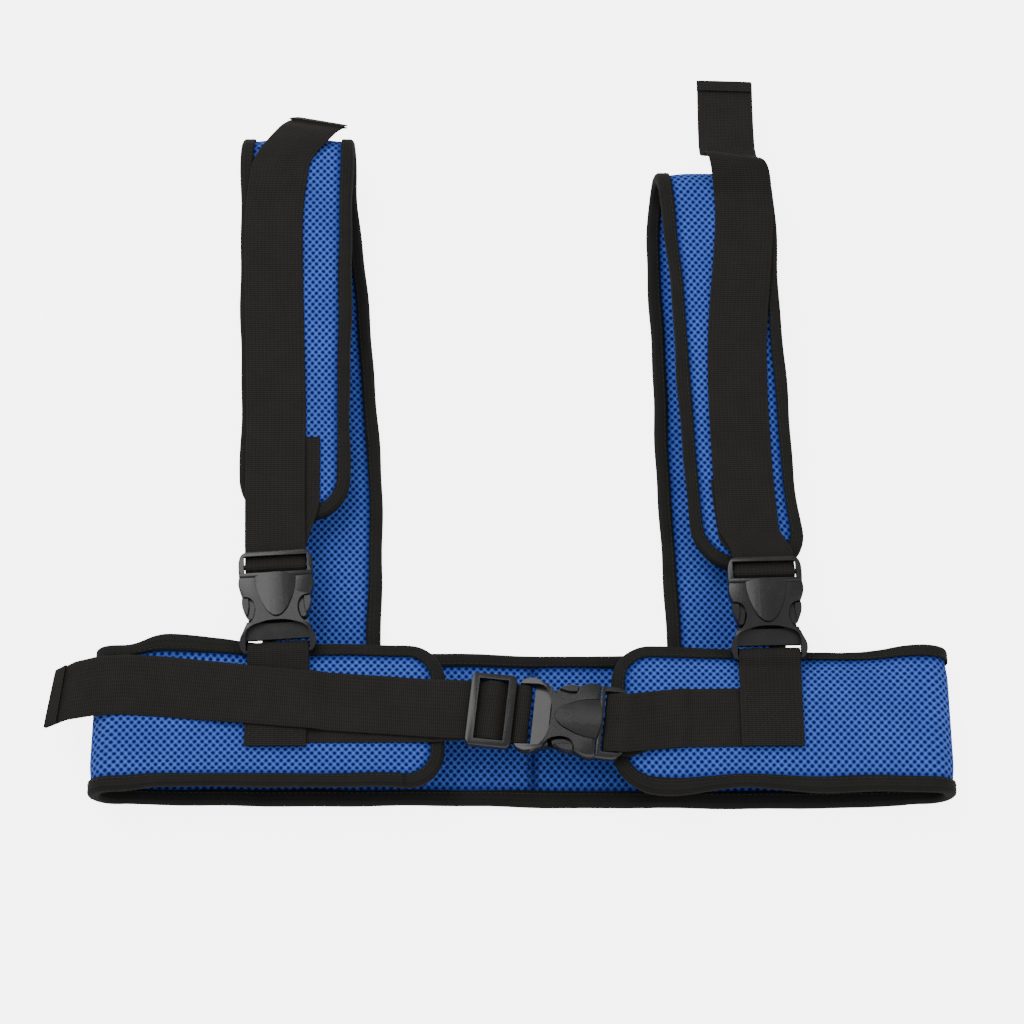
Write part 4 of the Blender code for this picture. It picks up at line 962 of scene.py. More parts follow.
@dataclass
class PaddedPanel:
    """One padded panel: two faces of spacer mesh over a foam core, as one soft closed form."""

    name: str
    base: Surface
    outline: Outline
    stands_for: tuple[str, ...]
    seamed_start: bool
    turned: bool = False
    spacing: float = 4.2 * MM
    under_skin: float = 0.35 * MM  # how far its faces lie under the pad's own outer faces
    groove: float = 0.42  # share of the thickness that is left at a sewn start
    groove_reach: float = 6 * MM
    puff: float = 0.7 * MM
    pressure: float = 4.0
    point_mass: float = 0.2
    stiffness: float = 30.0
    bending: float = 6.0
    frames: int = 20

    def grid(self) -> tuple[Array, Array]:
        """Distances along and across the panel on an even grid, closer at the rounded end."""
        o = self.outline
        sign = math.copysign(1, o.end)
        turn = abs(o.end) - o.corner
        count = int((turn - sign * o.start) / self.spacing)
        straight = np.linspace(sign * o.start, turn, count)[:-1]
        rounded = turn + (o.corner - PAD.inset) * np.sin(np.linspace(0, math.pi / 2, 11))
        s = sign * np.concatenate([straight, rounded])
        share = np.linspace(-1, 1, int(o.width / self.spacing) + 1)
        share = np.sign(share) * (1 - (1 - np.abs(share)) ** 1.25)
        half = o.half_at(s)
        return np.repeat(s[:, None], len(share), axis=1), half[:, None] * share[None, :]

    def height(self, s: Array, t: Array) -> Array:
        """Half the pad's thickness: the loft, less a groove at a sewn start."""
        loft = PAD.loft(self.outline.depth(s, t))
        if self.seamed_start:
            near = smooth_step(np.abs(s - self.outline.start) / self.groove_reach)
            loft = loft * (self.groove + (1 - self.groove) * near)
        return loft * (PAD.mesh_level + PAD.skin / 2 - self.under_skin)

    def shape(self) -> Cloth:
        """Two grids, above and below the mid-surface, joined by a strip round their rim."""
        s, t = self.grid()
        height = self.height(s, t)
        rows, columns = s.shape
        faces = grid_quads(rows, columns)
        index = np.arange(rows * columns).reshape(rows, columns)
        rim = np.concatenate([index[0, :-1], index[:-1, -1], index[-1, :0:-1], index[:0:-1, 0]])
        after = np.roll(rim, -1)
        below = rows * columns
        strip = np.stack([rim, after, after + below, rim + below], axis=-1)
        points = np.concatenate(
            [raise_from(self.base, s, t, sign * height).reshape(-1, 3) for sign in (1, -1)]
        )
        knit = (t, s) if self.turned else (s, t)
        cloth = np.tile(np.stack(knit, axis=-1).reshape(-1, 2), (2, 1))
        return Cloth(points, np.concatenate([faces, faces[:, ::-1] + below, strip]), cloth).outward()

    def held(self) -> Array:
        """How firmly each point is held while the pad fills: fully at its rim and its seam."""
        s, t = self.grid()
        depth = self.outline.depth(s, t)
        firm = 1 - smooth_step((depth - PAD.tape_width) / (4 * MM))
        if self.seamed_start:
            firm = np.maximum(firm, 1 - smooth_step(np.abs(s - self.outline.start) / (5 * MM)))
        return np.tile(firm.ravel(), 2)

    def mark_depth(self, piece: bpy.types.Object) -> None:
        """Stores each point's distance inside the bound edge, or from a sewn start if less; the mesh is
        darkened by it as painted shade.
        """
        s, t = self.grid()
        depth = self.outline.depth(s, t)
        if self.seamed_start:
            depth = np.minimum(depth, PAD.tape_width - MM + np.abs(s - self.outline.start))
        marks = piece.data.attributes.new(EDGE_DEPTH, "FLOAT", "POINT")
        marks.data.foreach_set("value", np.tile(depth.ravel(), 2).astype(np.float32))

    def settle(self, piece: bpy.types.Object) -> None:
        """Fills the pad by a short cloth simulation, its edges held, and keeps small moves only.

        Args:
            piece: the pad, whose points are moved by at most the puff.
        """
        mesh = piece.data
        rest = np.zeros(len(mesh.vertices) * 3)
        mesh.vertices.foreach_get("co", rest)
        rest = rest.reshape(-1, 3)
        group = piece.vertex_groups.new(name="held")
        firm = np.round(self.held(), 1)
        for level in np.unique(firm):
            group.add(np.flatnonzero(firm == level).tolist(), float(level), "REPLACE")
        cloth = piece.modifiers.new("fill", "CLOTH")
        settings = cloth.settings
        settings.vertex_group_mass = "held"
        settings.quality = 4
        settings.mass = self.point_mass
        settings.tension_stiffness = settings.compression_stiffness = self.stiffness
        settings.bending_stiffness = self.bending
        settings.use_pressure = True
        settings.uniform_pressure_force = self.pressure
        settings.effector_weights.gravity = 0
        cloth.collision_settings.use_collision = False
        cloth.point_cache.frame_start, cloth.point_cache.frame_end = 1, self.frames
        scene = bpy.context.scene
        for frame in range(1, self.frames + 1):
            scene.frame_set(frame)
        graph = bpy.context.evaluated_depsgraph_get()
        filled = piece.evaluated_get(graph).to_mesh()
        moved = np.zeros(len(filled.vertices) * 3)
        filled.vertices.foreach_get("co", moved)
        move = moved.reshape(-1, 3) - rest
        size = np.linalg.norm(move, axis=1, keepdims=True)
        capped = move * np.minimum(1, self.puff / np.maximum(size, 1e-9))
        piece.evaluated_get(graph).to_mesh_clear()
        piece.modifiers.remove(cloth)
        mesh.vertices.foreach_set("co", (rest + capped).ravel())
        mesh.update()
        scene.frame_set(1)
        mean = float(np.mean(np.minimum(size, self.puff))) / MM
        LOG.info("%s: filled, moved %.2f mm on average", self.name, mean)

    def build(self, wardrobe: Wardrobe) -> bpy.types.Object:
        """The dressed pad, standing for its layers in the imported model."""
        piece = wardrobe.dress(self.shape().shown(self.name), FinishName.MESH)
        self.mark_depth(piece)
        self.settle(piece)
        smoother = piece.modifiers.new("smoother", "SUBSURF")
        smoother.levels = smoother.render_levels = 1
        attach(piece, "belt")
        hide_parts(*self.stands_for)
        LOG.info("%s: %d points", self.name, len(piece.data.vertices))
        return piece


@dataclass
class EdgeTape:
    """Tape folded over a panel's edge and sewn through, with slight puckers."""

    name: str
    base: Surface
    path: Array
    inward: Array
    closed: bool
    stands_for: str
    step: float = 2.5 * MM
    nose: float = 2.8 * MM  # from the folded edge to where the legs start
    pucker: float = 0.22 * MM
    pucker_spacing: float = 13.7 * MM
    stray: float = 0.3 * MM  # of the free edges

    def places(self) -> tuple[Array, Array, Array]:
        """The path at even steps: places, directions inward and distances along."""
        path, inward = self.path, self.inward
        if self.closed:
            path, inward = (np.concatenate([v, v[:1]]) for v in (path, inward))
        run = run_along(path)
        at = np.linspace(0, run[-1], int(run[-1] / self.step) + 1, endpoint=not self.closed)
        return values_at(at, run, path), unit(values_at(at, run, inward)), at

    def shape(self) -> Cloth:
        """A U section carried along the edge.

        The outer side is two straight legs and half an ellipse round the edge. The inner side is
        the same moved in by the tape's thickness. Both legs swell between stitches by a sine.
        """
        place, inward, at = self.places()
        turn = np.linspace(math.pi / 2, -math.pi / 2, 9)
        leg = PAD.tape_width * np.array([1, 0.72, 0.5])

        def profile(moved: float) -> tuple[Array, Array]:
            """Places inward and heights of the U, moved in by this much."""
            bend = moved + (self.nose - moved) * (1 - np.cos(turn))
            height = np.concatenate([np.ones(3), np.sin(turn), -np.ones(3)])
            return np.concatenate([leg, bend, leg[::-1]]), (PAD.tape_level - moved) * height

        (outer_a, outer_n), (inner_a, inner_n) = profile(0), profile(PAD.tape_thick)
        a = np.concatenate([outer_a, inner_a[::-1]])
        n = np.concatenate([outer_n, inner_n[::-1]])
        swell = 0.5 + 0.5 * np.sin(at * 2 * math.pi / self.pucker_spacing + 2 * np.sin(at * 19))
        body = np.concatenate([np.sin(np.linspace(0, math.pi, len(outer_a))), np.zeros(len(inner_a))])
        outward = np.sign(n) * body[None, :] * swell[:, None] * self.pucker
        drift = self.stray * (np.sin(at * 41 + 0.8) + np.sin(at * 97) / 1.5)
        free = np.clip(a / PAD.tape_width, 0, 1) ** 2
        depth = a[None, :] + drift[:, None] * free[None, :]
        spot = place[:, None, :] + depth[..., None] * inward[:, None, :]
        rings = raise_from(self.base, spot[..., 0], spot[..., 1], n[None, :] + outward)
        round_it = run_along(np.stack([a, n], axis=-1))
        along, over = np.broadcast_arrays(at[:, None], round_it[None, :] - round_it.mean() / 2)
        return carried_section(rings, np.stack([along, over], axis=-1), self.closed)

    def seam(self, stitches: Stitching) -> None:
        """Adds the row of stitches near the tape's free edge, on both faces."""
        place, inward, _ = self.places()
        s, t = (place + inward * (PAD.tape_width - PAD.seam_inset)).T
        for sign in (1, -1):
            levels = PAD.tape_level + 0.02 * MM, PAD.tape_level + MM
            line, over = (raise_from(self.base, s, t, sign * level) for level in levels)
            stitches.add(line, over - line)

    def build(self, wardrobe: Wardrobe) -> bpy.types.Object:
        """The dressed tape, standing for its node."""
        piece = wardrobe.dress(self.shape().shown(self.name), FinishName.TAPE)
        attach(piece, "belt")
        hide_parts(self.stands_for)
        LOG.info("%s: %d points", self.name, len(piece.data.vertices))
        return piece


def corner_turn(
    centre: tuple[float, float], radius: float, first: float, last: float
) -> tuple[Array, Array]:
    """A quarter circle in cloth coordinates and the directions to its centre."""
    angles = np.linspace(first, last, 14)
    way = np.stack([np.cos(angles), np.sin(angles)], axis=-1)
    return np.array(centre) + radius * way, -way


def round_an_end(s: Array, half: float, corner: float) -> list[tuple[Array, Array]]:
    """Runs along one side of a panel, round its end and back along the other side.

    Args:
        s: distances along the straight sides, up to the corners.
        half: half the panel's width.
        corner: radius of its two corners.

    Returns:
        Four runs of places in cloth coordinates and directions inward.
    """
    turn, inner, quarter = s[-1], half - corner, math.pi / 2
    side, up = np.stack([s, np.full_like(s, -half)], axis=-1), np.tile([0.0, 1.0], (len(s), 1))
    return [
        (side, up),
        corner_turn((turn, -inner), corner, -quarter, 0),
        corner_turn((turn, inner), corner, 0, quarter),
        (side[::-1] * [1, -1], -up),
    ]


def chained(runs: Sequence[tuple[Array, Array]]) -> tuple[Array, Array]:
    """Runs of places and directions put end to end."""
    return tuple(np.concatenate(part) for part in zip(*runs))


# ================================================================ webbing
@dataclass
class Strip:
    """A length of webbing as its centre line and the direction across it."""

    centre: Array
    across: Array

    @staticmethod
    def chain(*runs: tuple[Array, Array]) -> "Strip":
        """A strip through runs of points, each with its directions across."""
        centre = np.concatenate([np.asarray(r[0], float).reshape(-1, 3) for r in runs])
        across = [np.broadcast_to(r[1], (np.size(r[0]) // 3, 3)) for r in runs]
        return Strip(centre, unit(np.concatenate(across)))

    def even(self, step: float, passes: int = 3) -> "Strip":
        """The strip at even steps, rounded: each inner point moves to its neighbours' mean.

        Args:
            step: distance between points.
            passes: how often the points are averaged.

        Returns:
            The new strip, with the same two ends.
        """
        run = self.run()
        at = np.linspace(0, run[-1], int(run[-1] / step) + 2)
        centre, across = values_at(at, run, self.centre), values_at(at, run, self.across)
        for line in (centre, across):
            for _ in range(passes):
                line[1:-1] = (line[:-2] + 2 * line[1:-1] + line[2:]) / 4
        return Strip(centre, unit(across))

    def run(self) -> Array:
        """Distance along the strip at each point."""
        return run_along(self.centre)

    def normals(self) -> Array:
        """Directions out of the strip's face: its tangent crossed with the way across."""
        way = unit(np.gradient(self.centre, axis=0))
        return unit(np.cross(way, self.across))

    def part(self, first: float, last: float) -> "Strip":
        """The stretch between two distances along."""
        run = self.run()
        inside = (run >= first) & (run <= last)
        return Strip(self.centre[inside], self.across[inside])

    def shape(self, start: float = 0.0) -> Cloth:
        """The strip with its woven section carried along it.

        The section is a flat band with round selvedges: across it, x is spread so that points
        gather at the sides, and the half-thickness is the square root of one less a high power
        of x.

        Args:
            start: cloth coordinate of its first point along.

        Returns:
            The closed surface.
        """
        x = np.sin(np.linspace(-1, 1, 11) * math.pi / 2)
        half = WEB.thick / 2 * np.maximum(1 - np.abs(x) ** 14, 0.05) ** 0.5
        x = np.concatenate([x, x[::-1]])
        y, n = WEB.width / 2 * x, np.concatenate([half, -half[::-1]])
        rise = n[:, None] * self.normals()[:, None, :]
        rings = self.centre[:, None] + y[:, None] * self.across[:, None] + rise
        along = start + self.run()
        cloth = np.stack(np.broadcast_arrays(along[:, None], y[None, :]), axis=-1)
        return carried_section(rings, cloth, closed=False)

    def hem(self) -> Cloth:
        """The strip's last stretch folded under itself."""
        total = self.run()[-1]
        end = self.part(total - HEM_LENGTH, total)
        under = Strip(end.centre - end.normals() * (WEB.thick + 0.05 * MM), end.across)
        return under.shape(start=total)

    def sew_hem(self, stitches: Stitching) -> None:
        """Adds the two rows of stitches across the hem, on both faces."""
        run = self.run()
        x = np.linspace(-WEB.seam_half, WEB.seam_half, 12)[:, None]
        for back in HEM_ROWS:
            lines = self.centre, self.across, self.normals()
            centre, across, normal = (values_at(run[-1] - back, run, line) for line in lines)
            for sign in (1, -1):
                stitches.add(centre + x * across + sign * WEB.thread_level * normal, sign * normal)


@dataclass(frozen=True)
class Hardware:
    """Sizes of the buckles and the tri-glide that the webbing has to go round."""

    housing_length: float = 49 * MM
    bar: float = 1.75 * MM
    centre_bar: float = 1.6 * MM
    centre_y: float = 8.1 * MM
    centre_z: float = -0.3 * MM
    frame_length: float = 17.2 * MM
    outer_bar: float = 3.0 * MM
    slot_ease: float = 2.8 * MM
    frame_ease: float = -1.3 * MM
    glide_bar: float = 5 * MM
    glide_slot: float = 7 * MM
    glide_centre: float = 4 * MM
    glide_spacing: float = 2.0 * MM
    glide_lower: float = -1.4 * MM

    @property
    def loop(self) -> float:
        """Radius of webbing round the housing's bar."""
        return self.bar + WEB.gap + WEB.thick / 2

    @property
    def centre_loop(self) -> float:
        """Radius of webbing round the frame's centre bar."""
        return self.centre_bar + WEB.gap + WEB.thick / 2

    @property
    def lower_z(self) -> float:
        """Level of webbing under the frame's bars."""
        return self.centre_z - self.centre_loop

    @property
    def frame_top(self) -> float:
        """Top of the frame's outer bar."""
        return self.lower_z + WEB.pitch + WEB.thick / 2 + WEB.gap + 3.4 * MM

    @property
    def frame_bottom(self) -> float:
        """Underside of the frame's rails."""
        return self.lower_z - 0.4 * MM

    @property
    def glide_length(self) -> float:
        """The tri-glide's length along the webbing."""
        return 2 * self.glide_bar + 2 * self.glide_slot + self.glide_centre

    @property
    def glide_y(self) -> float:
        """The tri-glide's middle in the waist buckle's own frame."""
        return -(self.housing_length + self.glide_spacing + self.glide_length / 2)


HARDWARE = Hardware()


@dataclass(frozen=True)
class BucklePlace:
    """A buckle's own frame, read off the joints: Y to the male half, Z out of its face."""

    origin: Array
    turn: Array

    @staticmethod
    def read(
        joints: Sequence[dict], release: str, prongs: Sequence[str], slide_sign: float
    ) -> "BucklePlace":
        """Finds a buckle from its slide and its two prongs' hinges.

        Args:
            joints: the record's joints.
            release: name of the slide.
            prongs: names of the two hinges, the one on local +X first.
            slide_sign: 1 where the slide runs to the male half, and -1 where it runs away.

        Returns:
            The place: origin midway between the hinges.
        """
        by_name = {j["name"]: j for j in joints}
        y = unit(slide_sign * np.array(by_name[release]["axis"], float))
        plus, minus = (np.array(by_name[p]["pos_m"], float) for p in prongs)
        x = unit(plus - minus)
        return BucklePlace((plus + minus) / 2, np.stack([x, y, np.cross(x, y)], axis=1))

    def put(self, run: Array) -> tuple[Array, Array]:
        """A run of the buckle's own (y, z) points in the belt's frame, and the way across it."""
        run = np.asarray(run, float)
        local = np.stack([0 * run[:, 0], run[:, 0], run[:, 1]], axis=-1)
        return local @ self.turn.T + self.origin, np.tile(self.turn[:, 0], (len(run), 1))

    def point(self, x: float, y: float, z: float) -> Array:
        """One point of the buckle's own frame in the belt's frame."""
        return self.turn @ np.array([x, y, z]) + self.origin


def arc(y: float, z: float, radius: float, first: float, last: float, ease: float = 0) -> Array:
    """Points round a bar in a buckle's own (y, z).

    They lie on a circle, drawn out along y by the ease on the side that the ease points to.

    Args:
        y: the bar's middle.
        z: the bar's middle.
        radius: the circle's radius.
        first: first angle in degrees, from +y towards +z.
        last: last angle.
        ease: how far the loop stands off the bar, along +y or -y.

    Returns:
        The points, (21, 2).
    """
    angles = np.radians(np.linspace(first, last, 21))
    out = np.clip(np.cos(angles) * np.sign(ease), 0, 1) * ease
    return np.stack([y + radius * np.cos(angles) + out, z + radius * np.sin(angles)], axis=-1)


def housing_loop(over: float = 90) -> Array:
    """In under the housing's bar, up through its slot and back over it."""
    h = HARDWARE
    return arc(h.bar - h.housing_length, 0, h.loop, -90, over, h.slot_ease)


def adjuster_run() -> Array:
    """In under both bars of a frame, up round the centre bar, and out under the outer bar."""
    h = HARDWARE
    upper = h.lower_z + WEB.pitch
    outer = h.frame_length - h.outer_bar
    around = arc(h.centre_y, h.centre_z, h.centre_loop, -90, -280, h.frame_ease)
    inside = [(h.frame_length + 4 * MM, h.lower_z)]
    ys = (outer - 0.5 * MM, h.frame_length + 0.4 * MM, h.frame_length + 5 * MM)
    outside = [(y, upper) for y in ys]
    return np.concatenate([inside, around, outside])


def sewn_frame_run() -> Array:
    """In under both bars, up round the centre bar, and out over the outer bar."""
    h = HARDWARE
    over = h.frame_top + WEB.gap + WEB.thick / 2
    around = arc(h.centre_y, h.centre_z, h.centre_loop, -90, -262, h.frame_ease)
    inside = [(h.frame_length + 5 * MM, h.lower_z)]
    outside = [(h.frame_length - h.outer_bar - 0.9 * MM, over), (h.frame_length + 0.6 * MM, over)]
    return np.concatenate([inside, around, outside])


def glide_run(level: float) -> Array:
    """Under one outer bar of the tri-glide, over its centre bar and under the other."""
    h = HARDWARE
    half, slot = h.glide_length / 2, h.glide_centre / 2 + h.glide_slot
    over = level + 2 * WEB.pitch
    low, high = slot - 0.5 * MM, h.glide_centre / 2 + 0.4 * MM
    ys = [-half - 0.5 * MM, -low, -high, high, low, half + 0.3 * MM]
    zs = [level, level, over, over, level, level]
    return np.stack([h.glide_y + np.array(ys), np.array(zs)], axis=-1)


# ================================================================ sub-assemblies
@dataclass
class WaistBelt:
    """The padded waist belt: two panels sewn at the centre back, one edge tape, and its seams."""

    wardrobe: Wardrobe
    lay: BeltLay = field(default_factory=BeltLay)
    topstitch: float = 3 * MM  # each side of the centre-back seam
    topstitch_level: float = PAD.mesh_level * 0.86 + 0.25 * MM

    def panels(self) -> list[PaddedPanel]:
        """The right and the left panel."""
        lay = self.lay
        made = []
        for side, start, end in (
            ("right", lay.back_seam - lay.lap, lay.right_end),
            ("left", lay.back_seam + lay.lap, -lay.left_end),
        ):
            nodes = tuple(f"belt_{side}_{layer}" for layer in ("outer_mesh", "foam", "lining"))
            outline = Outline(start, end, lay.height, lay.corner)
            made.append(PaddedPanel(f"belt_{side}_pad", lay.base, outline, nodes, seamed_start=True))
        return made

    def tape(self) -> EdgeTape:
        """The tape all round the belt: both long sides and both rounded ends."""
        lay = self.lay
        inner, quarter = lay.height / 2 - lay.corner, math.pi / 2
        right, left = lay.right_end - lay.corner, -lay.left_end + lay.corner
        runs = round_an_end(np.linspace(left, right, 500), lay.height / 2, lay.corner)
        runs.append(corner_turn((left, inner), lay.corner, quarter, 2 * quarter))
        runs.append(corner_turn((left, -inner), lay.corner, 2 * quarter, 3 * quarter))
        return EdgeTape("belt_edge_tape", lay.base, *chained(runs), True, "belt_edge_binding")

    def back_seam(self, stitches: Stitching) -> None:
        """Topstitching each side of the centre-back seam, on both faces."""
        lay = self.lay
        t = np.linspace(-1, 1, 40) * (lay.height / 2 - PAD.tape_width - MM)
        for s in (lay.back_seam - self.topstitch, lay.back_seam + self.topstitch):
            for sign in (1.0, -1.0):
                line = raise_from(lay.base, s, t, sign * self.topstitch_level)
                stitches.add(line, np.array([0, 0, sign]))

    def build(self) -> None:
        """Builds the panels, the tape and the thread."""
        for panel in self.panels():
            panel.build(self.wardrobe)
        tape = self.tape()
        tape.build(self.wardrobe)
        stitches = Stitching("belt_stitching")
        tape.seam(stitches)
        self.back_seam(stitches)
        stitches.sewn(self.wardrobe, "belt")


@dataclass(frozen=True)
class LooseTail:
    """How a strap's webbing drifts off the strap's middle, and how it leaves it at the top fold."""

    places: tuple[float, ...]  # distances from the strap's tip
    drift: tuple[float, ...]  # towards +X there
    leaves: float  # how far before the fold it leaves the strap
    end: tuple[tuple[float, float, float], ...]  # places after that, from where it leaves
    across: tuple[tuple[float, float, float], ...]  # the way across it at each
    sewn_drift: float = 0.0  # of the sewn end under it
    sewn_length: float = 60 * MM


@dataclass
class ShoulderStrap:
    """A padded shoulder strap with its webbing: sewn on, round the buckle, and a loose tail."""

    wardrobe: Wardrobe
    lay: StrapLay
    buckle: BucklePlace
    tail: LooseTail
    ripple: float = 0.5 * MM  # half the depth of the webbing's waves over the pad
    gives_from: float = 3 * MM  # past the frame; build finds this place but nothing uses it
    gives_to: float = 85 * MM  # farther past the frame; likewise found but not used

    def panel(self) -> PaddedPanel:
        """The strap's padding."""
        side, lay = self.lay.side, self.lay
        nodes = tuple(f"{side}_strap_{layer}" for layer in ("outer_mesh", "foam", "lining"))
        outline = Outline(0, lay.length, lay.width, lay.corner)
        name = f"{side}_strap_pad"
        return PaddedPanel(name, lay.base, outline, nodes, seamed_start=False, turned=True)

    def tape(self) -> EdgeTape:
        """The tape along both sides and round the tip."""
        lay = self.lay
        s = np.linspace(0, lay.length - lay.corner, 240)
        path, inward = chained(round_an_end(s, lay.width / 2, lay.corner))
        name = f"{lay.side}_strap"
        return EdgeTape(f"{name}_edge_tape", lay.base, path, inward, False, f"{name}_binding")

    def webbing(self) -> Strip:
        """The webbing's whole course, from its sewn end to the tip of its tail."""
        lay = self.lay
        first, second = -WEB.level(PAD), -WEB.level(PAD, 1)
        run, run_across = self.buckle.put(adjuster_run())
        sewn_s = lay.length - self.tail.sewn_length
        reach_y = max(lay.tip_y, run[0][1]) + 9 * MM
        lower_s = np.linspace(sewn_s, lay.s_at(reach_y), 12)
        lower = raise_from(lay.base, lower_s, -self.tail.sewn_drift, first)
        upper_s = np.concatenate(
            [
                [lay.s_at(reach_y + 6 * MM), sewn_s + 6 * MM],
                np.linspace(sewn_s - 8 * MM, lay.front_s + self.tail.leaves, 36),
            ]
        )
        drift = rounded_line(lay.length - upper_s, self.tail.places, self.tail.drift, 10 * MM)
        levels = np.where(upper_s > sewn_s - 2 * MM, second, first)
        wave = self.ripple * (1 - np.cos((sewn_s - upper_s) * 70)) * (upper_s < sewn_s - 12 * MM)
        upper = raise_from(lay.base, upper_s, -drift, levels - wave)
        ends = upper[-1] + np.array(self.tail.end)
        side = np.array([1.0, 0.0, 0.0])
        runs = (lower, side), (run, run_across), (upper, side), (ends, self.tail.across)
        return Strip.chain(*runs).even(1.2 * MM, 5)

    def build(self) -> None:
        """Builds the padding, tape, thread and webbing."""
        side = self.lay.side
        self.panel().build(self.wardrobe)
        tape = self.tape()
        tape.build(self.wardrobe)
        stitches = Stitching(f"{side}_strap_stitching")
        tape.seam(stitches)
        strip = self.webbing()
        strip.sew_hem(stitches)
        stitches.sewn(self.wardrobe, "belt")
        piece = strip.shape().joined(strip.hem()).shown(f"{side}_strap_tail_webbing")
        self.wardrobe.dress(piece, FinishName.WEBBING)
        start = self.buckle.point(0, HARDWARE.frame_length + self.gives_from, 0)
        end = self.buckle.point(0, HARDWARE.frame_length + self.gives_to, 0)
        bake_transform(piece)
        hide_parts(f"{side}_strap_webbing")


@dataclass
class WaistWebbing:
    """The webbing across the wings, and the stubs that hold the shoulder buckles."""

    wardrobe: Wardrobe
    lay: BeltLay
    buckle: BucklePlace
    shoulders: dict[str, BucklePlace]
    tail_end: float = -290 * MM
    gives_over: float = 70 * MM  # before the tri-glide; not used

    def on_wings(self, points: Sequence[tuple[float, float, float]]) -> Array:
        """Points given in the wings' own plane, in the belt's frame."""
        p = np.asarray(points, float)
        c, s = math.cos(self.lay.tilt), math.sin(self.lay.tilt)
        y, z = p[:, 1] * c + p[:, 2] * s, -p[:, 1] * s + p[:, 2] * c
        return np.stack([p[:, 0], y, z + self.lay.wing_z], axis=-1)

    def across_wings(self, ways: Sequence[tuple[float, float, float]]) -> Array:
        """Directions given in the wings' own plane, in the belt's frame."""
        return self.on_wings(ways) - np.array([0, 0, self.lay.wing_z])

    def stub_x(self, side: str) -> float:
        """Where a stub's middle is: under the end of its buckle's housing."""
        return float(self.shoulders[side].point(0, -HARDWARE.housing_length, 0)[0])

    def adjustable(self) -> tuple[Strip, Strip, Strip, Strip, Strip]:
        """The adjustable webbing in the stretches that move together.

        Returns:
            The sewn stretch, the lower one in the tri-glide, the loop round the housing's bar, the
            upper one in the tri-glide, and the tail.
        """
        h, up = HARDWARE, np.array([[0.0, 1.0, 0.0]])
        first, second, third = (WEB.level(PAD, k) for k in range(3))
        stub = self.stub_x("left")
        right, left = stub + WEB.width / 2, stub - WEB.width / 2
        edge = self.lay.left_wing_end - 8 * MM
        sewn = [(left + 1.5 * MM, 0.5 * MM, first), (edge, 0.8 * MM, first + 0.2 * MM)]
        lower = self.buckle.put(glide_run(h.glide_lower))
        loop = self.buckle.put(housing_loop(125))
        upper = self.buckle.put(glide_run(h.glide_lower + WEB.pitch)[::-1])
        tail = [
            (edge - 4 * MM, 3.4 * MM, second + 0.3 * MM),
            (edge - 25 * MM, 5.0 * MM, second + 0.2 * MM),
            (right + 12 * MM, 7.6 * MM, second + 0.3 * MM),
            (right + 3 * MM, 8.4 * MM, third + 0.2 * MM),
            (left - 3 * MM, 12.2 * MM, third + 0.2 * MM),
            (left - 22 * MM, 14.4 * MM, second + 0.6 * MM),
            (left - 50 * MM, 17.2 * MM, first + 2.4 * MM),
            (left - 74 * MM, 18.8 * MM, first + 2.6 * MM),
            (left - 91 * MM, 18.8 * MM, first + 0.6 * MM),
            (self.tail_end + 13 * MM, 17.4 * MM, first - 4.5 * MM),
            (self.tail_end, 14.6 * MM, first - 12 * MM),
        ]
        lean_x = (-0.045, -0.045, 0, 0, 0.06, 0.08, 0.08, 0.04, 0.02, 0.08, 0.13)
        lean_z = (0, 0, 0, 0, 0.02, 0.08, 0.14, 0.14, 0.1, 0.06, 0.04)
        lean = [(x, 1.0, z) for x, z in zip(lean_x, lean_z)]
        run = Strip.chain(
            (self.on_wings(sewn), self.across_wings(up)),
            (lower[0], -lower[1]),
            (loop[0], -loop[1]),
            (upper[0], -upper[1]),
            (self.on_wings(tail), self.across_wings(lean)),
        ).even(1.0 * MM, 2)
        local = (run.centre - self.buckle.origin) @ self.buckle.turn
        half = h.glide_length / 2 - 1.5 * MM
        inside = np.abs(local[:, 1] - h.glide_y) <= half
        edges = np.flatnonzero(np.diff(inside.astype(int)))
        marks = [0, *edges.tolist(), len(inside) - 1]
        stretches = (slice(a, b + 1) for a, b in zip(marks, marks[1:]))
        return tuple(Strip(run.centre[part], run.across[part]) for part in stretches)

    def build_adjustable(self, stitches: Stitching) -> None:
        """Builds the adjustable webbing as three pieces: on the wing, in the tri-glide, the loop."""
        sewn, lower, loop, upper, tail = self.adjustable()
        place = self.buckle.point(0, HARDWARE.glide_y - HARDWARE.glide_length / 2, 0)
        wing = sewn.shape().joined(tail.shape(0.3), tail.hem()).shown("waist_webbing_on_wing")
        threaded = lower.shape(0.15).joined(upper.shape(0.25)).shown("waist_webbing_in_glide")
        ring = loop.shape(0.2).shown("waist_webbing_loop")
        for piece in (wing, threaded, ring):
            self.wardrobe.dress(piece, FinishName.WEBBING)
        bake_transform(wing)
        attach(threaded, "tri_glide")
        near = self.buckle.point(0, HARDWARE.glide_y + HARDWARE.glide_length / 2 - MM, 0)
        far = self.buckle.point(0, -HARDWARE.housing_length + 1.5 * MM, 0)
        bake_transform(ring)
        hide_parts("waist_webbing_adjustable")
        tail.sew_hem(stitches)

